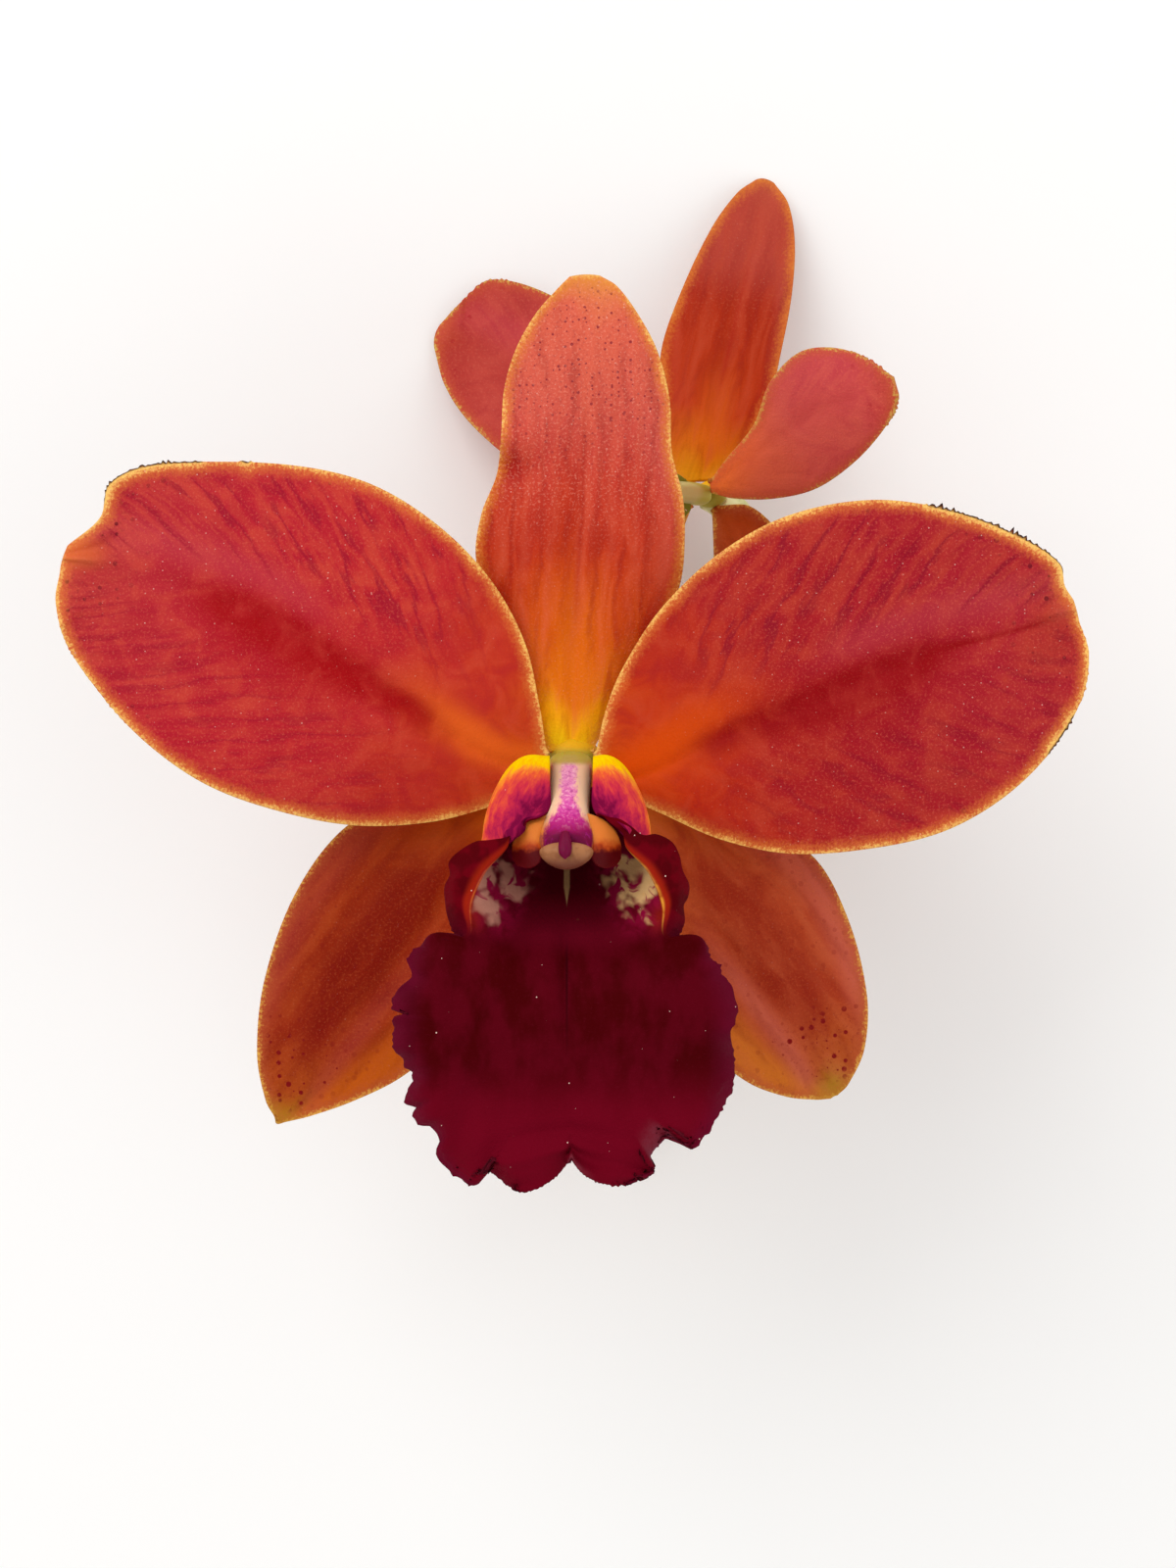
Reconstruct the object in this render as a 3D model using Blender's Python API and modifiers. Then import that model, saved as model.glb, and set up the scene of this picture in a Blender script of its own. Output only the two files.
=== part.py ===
"""A picked spray of two cattleya blooms, lying on its back with both faces up.

Lengths are millimetres until a mesh is made. The front bloom's centre, where its column meets
the ovary, is the zero of all the shapes, with +X to its right, +Y up its dorsal sepal and +Z out
of its face. The spray as a whole is then set down on the plane z = 0.
"""

import math

import bmesh
import bpy
from mathutils import Euler, Vector

MM = 0.001

# Where the front bloom's centre lies above the surface and beside the middle of the spray.
FRONT_CENTRE = Vector((-0.15, -13.3, 50.0))

# Outlines are drawn as they look from this eye, 200 mm above the front bloom, at the size that
# they have at the height of its centre. Each point then moves along its line of sight to its own
# height, so that a petal keeps its outline when its curve is changed.
EYE = Vector((1.5, -2.3, 200.0))

# The second bloom is younger: smaller, lower, and turned to face left and a little upwards.
REAR_CENTRE = Vector((12.9, 29.0, -30.0))
REAR_TURN = Euler((math.radians(-15.0), math.radians(-40.0), 0.0), "XYZ")
REAR_SIZE = 0.78

PETAL_THICK = 0.8
SEPAL_THICK = 1.0
LIP_THICK = 0.6
BRACT_THICK = 0.5

# Grid of a blade: steps from base to tip, and from margin to margin.
BLADE_STEPS = (13, 8)
LIP_STEPS = (26, 14)

# Every blade is two margins and a midrib, each from base to tip, with heights along the midrib.
# droop lowers both margins, twist lowers the low margin and raises the high one.
BLADES = {
    "front_dorsal_sepal": dict(
        low=[(1.1, 1.2), (2.6, 2.4), (5.5, 6.5), (8.0, 11.0), (10.0, 16.2), (10.4, 20.5), (10.2, 24.2),
             (9.2, 28.2), (9.0, 33.0), (7.9, 37.4), (6.2, 40.7), (4.2, 43.4), (2.6, 44.4)],
        mid=[(-0.1, 1.2), (0.3, 12.0), (1.0, 24.0), (1.2, 34.0), (1.2, 44.5)],
        high=[(-1.5, 1.2), (-3.0, 2.4), (-5.0, 6.5), (-7.2, 12.0), (-8.8, 18.4), (-8.3, 22.5), (-6.9, 26.1),
              (-6.5, 29.5), (-6.2, 34.0), (-5.1, 37.7), (-3.3, 40.9), (-1.3, 43.2), (-0.2, 44.3)],
        heights=[-1.8, -1.5, -0.7, 0.1, 0.2, -1.8], droop=1.6, twist=0.0, thick=SEPAL_THICK),
    "front_petal_left": dict(
        low=[(-2.3, -2.0), (-4.6, -3.2), (-7.2, -4.3), (-13.0, -5.8), (-20.0, -6.1), (-26.9, -4.8),
             (-33.5, -2.4), (-39.0, 1.4), (-43.2, 5.9), (-46.4, 10.6), (-47.4, 14.5), (-47.0, 17.2)],
        mid=[(-2.4, -0.9), (-7.3, 0.0), (-15.6, 5.3), (-22.9, 9.6), (-28.9, 13.3), (-38.0, 16.6), (-46.8, 18.3)],
        high=[(-2.3, 0.6), (-2.9, 4.6), (-4.3, 10.7), (-7.4, 16.4), (-12.2, 21.4), (-18.3, 25.2), (-25.0, 26.9),
              (-34.0, 27.3), (-39.6, 26.8), (-42.5, 25.2), (-43.3, 22.2), (-46.3, 19.6)],
        heights=[-0.3, 1.5, 2.8, 3.2, 2.6, 0.8], droop=1.8, twist=0.0, thick=PETAL_THICK),
    "front_petal_right": dict(
        low=[(2.2, -2.0), (4.2, -3.2), (8.2, -5.0), (13.7, -7.4), (20.0, -8.7), (27.0, -8.3), (33.8, -6.8),
             (39.2, -3.9), (43.6, 0.2), (46.8, 5.4), (47.5, 9.6), (46.6, 12.7)],
        mid=[(2.3, -0.9), (6.0, -1.7), (14.0, 2.2), (21.9, 5.2), (28.2, 7.9), (34.5, 10.2), (40.8, 11.8),
             (46.4, 13.6)],
        high=[(2.2, 0.5), (3.1, 4.4), (4.6, 8.2), (8.2, 13.8), (13.7, 19.0), (20.0, 22.4), (27.7, 23.8),
              (35.0, 22.8), (41.0, 20.5), (44.8, 18.0), (45.3, 15.9), (46.1, 14.6)],
        heights=[-0.3, 1.4, 2.6, 3.0, 2.3, 0.5], droop=1.8, twist=0.0, thick=PETAL_THICK),
    "front_lateral_sepal_left": dict(
        low=[(-1.0, -2.9), (-2.4, -6.0), (-4.6, -12.0), (-8.5, -20.5), (-12.0, -26.0), (-15.6, -29.2),
             (-20.0, -31.4), (-24.0, -32.8), (-26.3, -33.3)],
        mid=[(-1.9, -2.0), (-8.5, -9.5), (-15.5, -18.0), (-21.8, -26.0), (-26.7, -33.1)],
        high=[(-2.4, -1.0), (-6.5, -1.6), (-14.0, -3.0), (-20.7, -6.2), (-25.3, -12.2), (-28.2, -20.2),
              (-28.9, -27.0), (-28.1, -31.4), (-27.1, -32.8)],
        heights=[-2.0, -2.9, -3.6, -4.4, -5.4, -7.2], droop=1.2, twist=0.0, thick=SEPAL_THICK),
    "front_lateral_sepal_right": dict(
        low=[(2.0, -1.0), (6.2, -1.8), (14.0, -4.4), (21.9, -8.7), (25.2, -14.2), (27.1, -21.5),
             (26.9, -26.6), (25.4, -29.9), (24.4, -30.9)],
        mid=[(1.6, -2.0), (8.2, -9.5), (14.8, -17.5), (20.6, -25.3), (24.1, -31.0)],
        high=[(0.8, -2.9), (2.4, -6.0), (4.6, -12.0), (8.5, -20.5), (12.0, -26.2), (16.0, -29.6),
              (19.6, -31.0), (22.4, -31.3), (23.8, -31.2)],
        heights=[-2.0, -2.9, -3.6, -4.4, -5.4, -7.2], droop=1.2, twist=0.0, thick=SEPAL_THICK),
    "rear_dorsal_sepal": dict(
        low=[(12.6, 26.3), (16.0, 28.6), (18.2, 33.0), (19.2, 37.2), (20.2, 42.5), (20.5, 47.4), (19.9, 51.0),
             (18.6, 52.9)],
        mid=[(12.0, 26.4), (13.4, 33.0), (15.0, 40.0), (16.6, 47.0), (17.7, 53.3)],
        high=[(11.3, 26.4), (9.6, 28.4), (8.3, 33.0), (8.2, 37.4), (9.9, 42.6), (12.8, 48.7), (15.2, 52.0),
              (16.9, 53.2)],
        heights=[-32.6, -33.6, -36.4, -40.4, -45.0, -49.1], droop=1.4, twist=0.0, thick=SEPAL_THICK),
    "rear_petal_left": dict(
        low=[(9.6, 24.0), (7.0, 23.4), (2.6, 23.6), (-2.4, 25.2), (-6.6, 28.3), (-9.8, 31.4), (-11.7, 34.4),
             (-12.6, 37.6)],
        mid=[(9.6, 24.8), (4.6, 28.4), (-1.0, 32.6), (-6.8, 36.2), (-12.6, 38.8)],
        high=[(9.7, 25.6), (9.0, 28.4), (6.6, 34.0), (2.6, 39.6), (-2.8, 43.0), (-7.5, 44.0), (-9.9, 42.2),
              (-12.1, 39.9)],
        heights=[-31.5, -34.6, -38.0, -41.6, -45.6, -49.3], droop=1.0, twist=-2.6, thick=PETAL_THICK),
    "rear_petal_right": dict(
        low=[(12.8, 24.4), (15.0, 23.9), (18.6, 23.9), (22.4, 24.8), (25.8, 27.1), (28.4, 29.9), (29.7, 32.2),
             (29.8, 33.4)],
        mid=[(12.7, 25.0), (17.0, 28.0), (21.6, 31.2), (25.8, 33.2), (29.7, 34.2)],
        high=[(12.8, 25.7), (14.3, 27.7), (16.7, 30.7), (18.2, 34.6), (21.0, 37.4), (24.6, 37.7), (27.8, 36.3),
              (29.4, 35.0)],
        heights=[-29.0, -23.0, -17.0, -11.6, -6.8, -3.4], droop=1.6, twist=-1.6, thick=PETAL_THICK),
    "rear_lateral_sepal_left": dict(
        low=[(10.7, 24.0), (6.8, 22.8), (1.8, 18.4), (-2.2, 11.6), (-3.8, 5.6), (-3.9, 2.6)],
        mid=[(10.9, 23.5), (6.8, 18.6), (3.0, 13.0), (-0.2, 7.4), (-3.4, 2.2)],
        high=[(11.0, 23.1), (9.6, 19.4), (7.4, 13.0), (4.0, 7.4), (0.0, 3.4), (-2.6, 2.0)],
        heights=[-33.2, -35.6, -38.4, -41.0, -43.2, -45.2], droop=1.0, twist=0.0, thick=SEPAL_THICK),
    "rear_lateral_sepal_right": dict(
        low=[(12.3, 22.8), (13.0, 20.0), (13.2, 16.4), (14.6, 10.4), (18.0, 5.0), (22.2, 2.2), (23.8, 1.6)],
        mid=[(12.9, 23.0), (15.6, 17.6), (18.6, 11.4), (21.6, 6.2), (24.3, 1.8)],
        high=[(13.5, 23.3), (16.4, 23.2), (19.2, 20.6), (22.6, 14.8), (24.8, 8.4), (25.2, 3.8), (24.7, 2.2)],
        heights=[-31.0, -27.6, -24.2, -20.8, -17.6, -15.2], droop=1.2, twist=0.0, thick=SEPAL_THICK),
}

# Half cross-sections of the lip, from its base under the column to the tip of the mid-lobe. Each
# runs from the midline out to the free margin. The first ones are a trough that wraps the column,
# the middle ones end in a margin folded outwards, and the last ones fan out into the mid-lobe.
LIP_MIDLINE_X = -0.45
LIP_SECTIONS = (
    ((0.0, -3.3, 0.6), (1.3, -3.1, 0.8), (2.4, -2.5, 1.1), (3.0, -1.6, 1.5), (3.1, -0.7, 1.9), (2.8, -0.1, 2.2),
     (2.4, 0.1, 2.4)),
    ((0.0, -5.3, 2.2), (2.0, -4.8, 2.3), (3.7, -3.7, 2.8), (4.6, -2.2, 3.6), (4.7, -0.9, 4.4), (3.7, -0.2, 5.1),
     (2.4, -0.3, 5.3)),
    ((0.0, -8.0, 4.6), (2.6, -7.4, 4.8), (4.8, -5.9, 5.5), (6.0, -4.0, 6.7), (5.8, -2.4, 8.1), (4.2, -1.7, 9.3),
     (2.4, -2.1, 9.7)),
    ((0.0, -10.4, 7.2), (3.0, -9.8, 7.4), (5.6, -8.2, 8.2), (6.9, -6.0, 9.8), (6.5, -4.6, 11.8), (4.6, -4.2, 13.1),
     (2.4, -4.6, 13.5)),
    ((0.0, -11.6, 8.6), (3.2, -11.1, 8.9), (6.0, -9.5, 9.9), (7.2, -7.4, 11.8), (6.2, -6.2, 14.2), (4.0, -6.0, 15.9),
     (3.8, -5.9, 16.0)),
    ((0.0, -12.8, 10.2), (3.5, -12.3, 10.6), (6.2, -10.8, 11.8), (7.5, -8.9, 14.0), (5.4, -8.0, 17.6),
     (6.2, -7.4, 17.6), (7.5, -7.5, 16.2)),
    ((0.0, -14.5, 12.4), (3.8, -14.2, 12.9), (6.6, -13.0, 14.5), (8.0, -11.4, 17.0), (7.5, -10.3, 19.4),
     (9.2, -9.6, 19.3), (10.8, -10.0, 17.8)),
    ((0.0, -16.2, 14.8), (3.8, -16.0, 15.2), (6.6, -15.2, 16.6), (8.4, -14.2, 18.7), (8.9, -13.2, 20.0),
     (10.3, -12.9, 19.8), (11.3, -13.4, 18.4)),
    ((0.0, -18.5, 17.6), (3.4, -18.2, 17.9), (6.2, -17.6, 18.6), (8.2, -16.9, 19.5), (9.0, -16.5, 19.9),
     (9.5, -16.6, 19.6), (9.9, -17.0, 19.0)),
    ((0.0, -21.0, 19.6), (3.0, -20.7, 19.8), (6.0, -20.1, 20.2), (9.0, -19.3, 20.4), (11.5, -18.6, 20.4),
     (13.2, -18.1, 20.0), (14.4, -17.9, 19.4)),
    ((0.0, -24.5, 20.8), (3.2, -24.3, 21.0), (6.4, -24.0, 21.2), (9.4, -23.6, 21.2), (12.0, -23.3, 21.0),
     (14.2, -23.0, 20.4), (15.8, -22.8, 19.6)),
    ((0.0, -28.0, 21.2), (3.2, -27.9, 21.3), (6.4, -27.8, 21.4), (9.4, -27.8, 21.2), (12.0, -27.8, 20.8),
     (14.0, -27.9, 20.2), (15.5, -28.0, 19.4)),
    ((0.0, -31.5, 21.0), (3.2, -31.7, 21.2), (6.3, -32.1, 21.2), (9.2, -32.5, 21.0), (11.5, -32.8, 20.6),
     (13.2, -33.0, 20.0), (14.4, -33.0, 19.2)),
    ((0.0, -34.5, 20.6), (2.8, -35.1, 20.8), (5.4, -36.0, 20.8), (7.4, -36.8, 20.6), (8.8, -37.3, 20.2),
     (9.8, -37.6, 19.6), (10.6, -37.7, 19.0)),
    ((0.0, -36.6, 20.2), (1.2, -37.9, 20.3), (2.4, -38.7, 20.3), (3.6, -39.2, 20.1), (4.6, -39.4, 19.9),
     (5.4, -39.5, 19.6), (6.2, -39.4, 19.3)),
)

# Column: (centre y, height z, half-width, half-depth, how far the sides droop). The wings are the
# wide rings near its end, and the underside is hollow there.
COLUMN_X = -0.3
COLUMN_LEAN = math.radians(19.0)
COLUMN_RINGS = (
    (-0.6, -1.2, 1.5, 1.4, 0.0),
    (-1.2, 1.0, 1.6, 1.5, 0.0),
    (-2.7, 5.5, 1.65, 1.5, 0.0),
    (-4.1, 10.0, 1.7, 1.5, 0.2),
    (-5.1, 13.0, 2.6, 1.5, 0.8),
    (-5.7, 14.8, 4.1, 1.4, 2.0),
    (-6.2, 16.2, 3.9, 1.3, 1.9),
    (-6.7, 17.6, 2.5, 1.2, 0.6),
)
COLUMN_SIDES = 20
CAP_CENTRE = Vector((-0.3, -8.5, 18.7))
CAP_SIZE = Vector((2.3, 0.95, 1.05))

# Stalks: (point, radius) along each. Both ovaries narrow into pedicels that meet at the peduncle.
STALKS = {
    "front_ovary": (((-0.2, -0.6, -3.7), 2.3), ((-0.2, -0.6, -5.2), 1.9), ((-0.3, -3.2, -10.5), 2.0),
                    ((0.6, -7.4, -20.0), 1.9), ((3.6, -10.4, -31.0), 1.6), ((8.0, -10.7, -39.6), 1.5),
                    ((11.1, -11.5, -44.6), 1.6)),
    "rear_ovary": (((14.9, 28.5, -32.8), 1.8), ((15.9, 28.1, -34.0), 1.6), ((18.0, 26.4, -37.0), 1.8),
                   ((20.6, 22.2, -41.0), 1.7), ((21.8, 14.6, -44.4), 1.5), ((19.6, 3.0, -46.2), 1.4),
                   ((15.6, -6.0, -46.6), 1.6)),
    "peduncle": (((15.4, -6.4, -46.6), 1.9), ((13.4, -10.0, -46.9), 2.5), ((11.0, -16.0, -47.2), 2.3),
                 ((8.0, -24.0, -47.4), 2.1), ((5.6, -32.0, -47.5), 2.2), ((4.0, -40.0, -47.8), 2.3)),
}

# Bracts: dry triangular scales that clasp the foot of each pedicel.
BRACT_LENGTH = 9.0
BRACT_GAP = 0.4
BRACTS = {
    "front_bract": dict(stalk="front_ovary", face=(-0.85, -0.3, -0.4)),
    "rear_bract": dict(stalk="rear_ovary", face=(0.8, -0.4, 0.35)),
}

# Colour, roughness.
FINISHES = {
    "petal": ((0.55, 0.03, 0.03), 0.45),
    "dorsal_sepal": ((0.56, 0.10, 0.03), 0.45),
    "lateral_sepal": ((0.42, 0.09, 0.02), 0.45),
    "lip": ((0.10, 0.0, 0.01), 0.40),
    "column": ((0.55, 0.12, 0.32), 0.35),
    "anther_cap": ((0.60, 0.42, 0.22), 0.40),
    "stalk": ((0.20, 0.28, 0.06), 0.45),
    "bract": ((0.45, 0.34, 0.16), 0.70),
}


def clear_scene():
    for thing in list(bpy.data.objects):
        bpy.data.objects.remove(thing, do_unlink=True)


def finish(kind):
    name = kind + "_finish"
    made = bpy.data.materials.get(name)
    if made:
        return made
    colour, roughness = FINISHES[kind]
    made = bpy.data.materials.new(name)
    made.use_nodes = True
    shader = made.node_tree.nodes["Principled BSDF"]
    shader.inputs["Base Color"].default_value = (*colour, 1.0)
    shader.inputs["Roughness"].default_value = roughness
    shader.inputs["Metallic"].default_value = 0.0
    return made


def from_eye(x, y, z):
    """The point at height z on the line of sight through (x, y) at the front bloom's centre."""
    nearer = 1.0 - z / EYE.z
    return Vector((EYE.x + (x - EYE.x) * nearer, EYE.y + (y - EYE.y) * nearer, z))


def along(points, share):
    """The point at this share of a smooth curve through the points, by their chord lengths."""
    points = [Vector(p) for p in points]
    chords = [(b - a).length for a, b in zip(points, points[1:])]
    left = share * sum(chords)
    i = 0
    while i < len(chords) - 1 and left > chords[i]:
        left -= chords[i]
        i += 1
    t = min(left / chords[i], 1.0)
    before = points[max(i - 1, 0)]
    after = points[min(i + 2, len(points) - 1)]
    a, b = points[i], points[i + 1]
    # Each end's slope runs between its two neighbours, weighed by chord.
    slope_a = (b - before) / (1.0 + (chords[i - 1] / chords[i] if i else 0.0))
    slope_b = (after - a) / (1.0 + (chords[i + 1] / chords[i] if i + 1 < len(chords) else 0.0))
    square, cube = t * t, t * t * t
    return (a * (2 * cube - 3 * square + 1) + slope_a * (cube - 2 * square + t)
            + b * (3 * square - 2 * cube) + slope_b * (cube - square))


def evenly(values, share):
    """A value read from a smooth curve through evenly spaced values."""
    spaced = [(float(i), v, 0.0) for i, v in enumerate(values)]
    return along_uniform(spaced, share)[1]


def along_uniform(points, share):
    """As along, with the points taken as equally far apart."""
    points = [Vector(p) for p in points]
    place = share * (len(points) - 1)
    i = min(int(place), len(points) - 2)
    t = place - i
    before = points[i - 1] if i else points[0] * 2 - points[1]
    after = points[i + 2] if i + 2 < len(points) else points[-1] * 2 - points[-2]
    a, b = points[i], points[i + 1]
    square, cube = t * t, t * t * t
    return 0.5 * (2 * a + (b - before) * t + (2 * before - 5 * a + 4 * b - after) * square
                  + (3 * a - before - 3 * b + after) * cube)


def set_up(name, mesh, kind, parent, group):
    made = bpy.data.objects.new(name, mesh)
    made.parent = parent
    mesh.materials.append(finish(kind))
    for face in mesh.polygons:
        face.use_smooth = True
    group.objects.link(made)
    return made


def sheet(name, steps, place, thick, facing, kind, parent, group):
    """A grid bent by place(share, side), then given its thickness behind the side that faces facing."""
    bm = bmesh.new()
    bmesh.ops.create_grid(bm, x_segments=steps[0], y_segments=steps[1], size=1.0)
    for corner in bm.verts:
        share, side = (corner.co.x + 1) / 2, corner.co.y
        corner.co = place(share, side) * MM
    bm.normal_update()
    if sum(face.normal.dot(facing) * face.calc_area() for face in bm.faces) < 0:
        bmesh.ops.reverse_faces(bm, faces=bm.faces[:])
    mesh = bpy.data.meshes.new(name)
    bm.to_mesh(mesh)
    bm.free()
    made = set_up(name, mesh, kind, parent, group)
    skin = made.modifiers.new("Thickness", "SOLIDIFY")
    skin.thickness = thick * MM
    skin.offset = -1.0
    return made


def blade_place(blade):
    def place(share, side):
        low = along([(x, y, 0) for x, y in blade["low"]], share)
        mid = along([(x, y, 0) for x, y in blade["mid"]], share)
        high = along([(x, y, 0) for x, y in blade["high"]], share)
        flat = mid + (high - low) * (side / 2) + ((high + low) / 2 - mid) * side * side
        body = math.sin(math.pi * min(share * 1.1, 1.0) ** 0.8) ** 0.5 if 0 < share < 1 / 1.1 else 0.0
        height = evenly(blade["heights"], share)
        height += body * (blade["twist"] * side - blade["droop"] * side * side)
        return from_eye(flat.x, flat.y, height)
    return place


def make_blades(parent, group):
    for name, blade in BLADES.items():
        kind = next(k for k in ("dorsal_sepal", "lateral_sepal", "petal") if k in name)
        sheet(name, BLADE_STEPS, blade_place(blade), blade["thick"], Vector((0, 0, 1)), kind, parent, group)


def lip_place(size):
    def place(share, side):
        row = [along_uniform([section[j] for section in LIP_SECTIONS], share) for j in range(7)]
        half = along_uniform(row, abs(side))
        x = half.x if side > 0 else -half.x
        return from_eye(LIP_MIDLINE_X + x, half.y, half.z) * size
    return place


def make_lip(name, size, parent, group):
    return sheet(name, LIP_STEPS, lip_place(size), LIP_THICK, Vector((0, 0.3, 1)), "lip", parent, group)


def make_column(name, size, parent, group):
    """A loft of unlike rings: a round stalk that spreads into two drooping wings."""
    bm = bmesh.new()
    up = Vector((0, math.cos(COLUMN_LEAN), math.sin(COLUMN_LEAN)))
    rings = []
    for y, z, half_width, half_depth, droop in COLUMN_RINGS:
        ring = []
        for i in range(COLUMN_SIDES):
            angle = 2 * math.pi * i / COLUMN_SIDES
            rise = half_depth * math.sin(angle) - droop * math.cos(angle) ** 2
            point = Vector((COLUMN_X + half_width * math.cos(angle), y, z)) + up * rise
            ring.append(bm.verts.new(point * size * MM))
        rings.append(ring)
    for first, second in zip(rings, rings[1:]):
        for i in range(COLUMN_SIDES):
            j = (i + 1) % COLUMN_SIDES
            bm.faces.new((first[i], first[j], second[j], second[i]))
    bm.faces.new(rings[0][::-1])
    bm.faces.new(rings[-1])
    bmesh.ops.recalc_face_normals(bm, faces=bm.faces[:])
    mesh = bpy.data.meshes.new(name)
    bm.to_mesh(mesh)
    bm.free()
    return set_up(name, mesh, "column", parent, group)


def make_cap(name, size, parent, group):
    bm = bmesh.new()
    bmesh.ops.create_uvsphere(bm, u_segments=16, v_segments=10, radius=1.0)
    for corner in bm.verts:
        corner.co = Vector((corner.co.x * CAP_SIZE.x, corner.co.y * CAP_SIZE.y, corner.co.z * CAP_SIZE.z))
        corner.co *= size * MM
    mesh = bpy.data.meshes.new(name)
    bm.to_mesh(mesh)
    bm.free()
    made = set_up(name, mesh, "anther_cap", parent, group)
    made.location = CAP_CENTRE * size * MM
    return made


def make_stalk(name, route, parent, group):
    """A tube that swells and narrows along its route, on a smooth curve with filled ends."""
    curve = bpy.data.curves.new(name, "CURVE")
    curve.dimensions = "3D"
    curve.bevel_depth = MM
    curve.bevel_resolution = 3
    curve.use_fill_caps = True
    spline = curve.splines.new("POLY")
    steps = 14
    spline.points.add(steps)
    for i in range(steps + 1):
        share = i / steps
        point = along([p for p, radius in route], share) * MM
        spline.points[i].co = (*point, 1.0)
        spline.points[i].radius = evenly([radius for p, radius in route], share)
    spline.use_smooth = True
    curve.materials.append(finish("stalk"))
    made = bpy.data.objects.new(name, curve)
    made.parent = parent
    group.objects.link(made)
    return made


def make_bract(name, shape, parent, group):
    """A pointed scale, rolled round the foot of its pedicel and bending away at its tip."""
    route = [point for point, radius in STALKS[shape["stalk"]]]
    radius = STALKS[shape["stalk"]][-1][1] + BRACT_GAP + BRACT_THICK
    reach = BRACT_LENGTH / sum((Vector(b) - Vector(a)).length for a, b in zip(route, route[1:]))
    foot, tip = along(route, 0.99), along(route, 0.99 - reach)
    ahead = (tip - foot).normalized()
    face = Vector(shape["face"])
    face = (face - ahead * face.dot(ahead)).normalized()
    across = face.cross(ahead)

    def place(share, side):
        angle = side * (1.5 * (1 - share) ** 0.6 + 0.08)
        away = radius + 1.4 * share * share
        return along(route, 0.99 - reach * share) + (face * math.cos(angle) + across * math.sin(angle)) * away

    return sheet(name, (8, 6), place, BRACT_THICK, face, "bract", parent, group)


def empty(name, location, parent, group):
    made = bpy.data.objects.new(name, None)
    made.location = location * MM
    made.parent = parent
    group.objects.link(made)
    return made


def main():
    clear_scene()
    group = bpy.data.collections.new("cattleya_spray")
    bpy.context.scene.collection.children.link(group)
    spray = empty("front_centre", FRONT_CENTRE, None, group)
    rear = empty("rear_centre", REAR_CENTRE, spray, group)
    rear.rotation_euler = REAR_TURN
    make_blades(spray, group)
    for bloom, parent, size in (("front", spray, 1.0), ("rear", rear, REAR_SIZE)):
        make_lip(bloom + "_lip", size, parent, group)
        make_column(bloom + "_column", size, parent, group)
        make_cap(bloom + "_anther_cap", size, parent, group)
    for name, route in STALKS.items():
        make_stalk(name, route, spray, group)
    for name, shape in BRACTS.items():
        make_bract(name, shape, spray, group)


main()
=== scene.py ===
"""The looks of a picked spray of two cattleya blooms.

Lengths are millimetres until a mesh is made. Outlines are the part's own, drawn round the front
bloom's centre as they look from above it, and each point then moves along its line of sight to
its own height. The fine surface, frills, teeth, veins and colours are added here.
"""

import math

import bpy
import numpy as np
from mathutils import Euler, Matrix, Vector


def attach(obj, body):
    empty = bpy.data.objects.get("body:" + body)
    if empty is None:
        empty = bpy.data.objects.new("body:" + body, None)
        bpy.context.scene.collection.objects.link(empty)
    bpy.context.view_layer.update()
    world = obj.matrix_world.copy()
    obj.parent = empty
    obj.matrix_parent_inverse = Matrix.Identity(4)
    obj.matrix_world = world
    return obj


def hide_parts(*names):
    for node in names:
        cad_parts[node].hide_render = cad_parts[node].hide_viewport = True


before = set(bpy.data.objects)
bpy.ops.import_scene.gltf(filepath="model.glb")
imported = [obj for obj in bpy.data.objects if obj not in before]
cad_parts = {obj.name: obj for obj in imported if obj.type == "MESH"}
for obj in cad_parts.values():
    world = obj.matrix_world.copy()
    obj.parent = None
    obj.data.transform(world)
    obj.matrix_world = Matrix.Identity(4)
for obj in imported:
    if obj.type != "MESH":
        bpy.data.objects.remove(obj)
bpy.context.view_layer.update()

# One millimetre in metres. The front bloom's centre in the part, and from it the eye that outlines are
# seen from and the rear bloom's centre. The rear bloom is turned, and smaller than the front one.
MM = 0.001
FRONT_CENTRE = np.array((-0.15, -13.3, 50.0))
EYE = np.array((1.5, -2.3, 200.0))
REAR_CENTRE = np.array((12.9, 29.0, -30.0))
REAR_TURN = Euler((math.radians(-15.0), math.radians(-40.0), 0.0), "XYZ")
REAR_SIZE = 0.78

# Steps along and across each sheet: fine enough for the teeth along a margin.
FRONT_PETAL_STEPS = (260, 56)
FRONT_SEPAL_STEPS = (200, 44)
REAR_STEPS = (150, 36)
FRONT_LIP_STEPS = (250, 104)
REAR_LIP_STEPS = (140, 64)
COLUMN_SIDES, COLUMN_STEPS = 72, 70
STALK_SIDES, STALK_STEPS = 48, 130
WING_STEPS, BRACT_STEPS = (60, 24), (60, 40)

# Thickness at the middle of a sheet and at its margin.
TEPAL_THICK, TEPAL_EDGE = 0.85, 0.28
LIP_THICK, LIP_EDGE = 0.55, 0.22
BRACT_THICK, BRACT_EDGE = 0.45, 0.2

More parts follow.
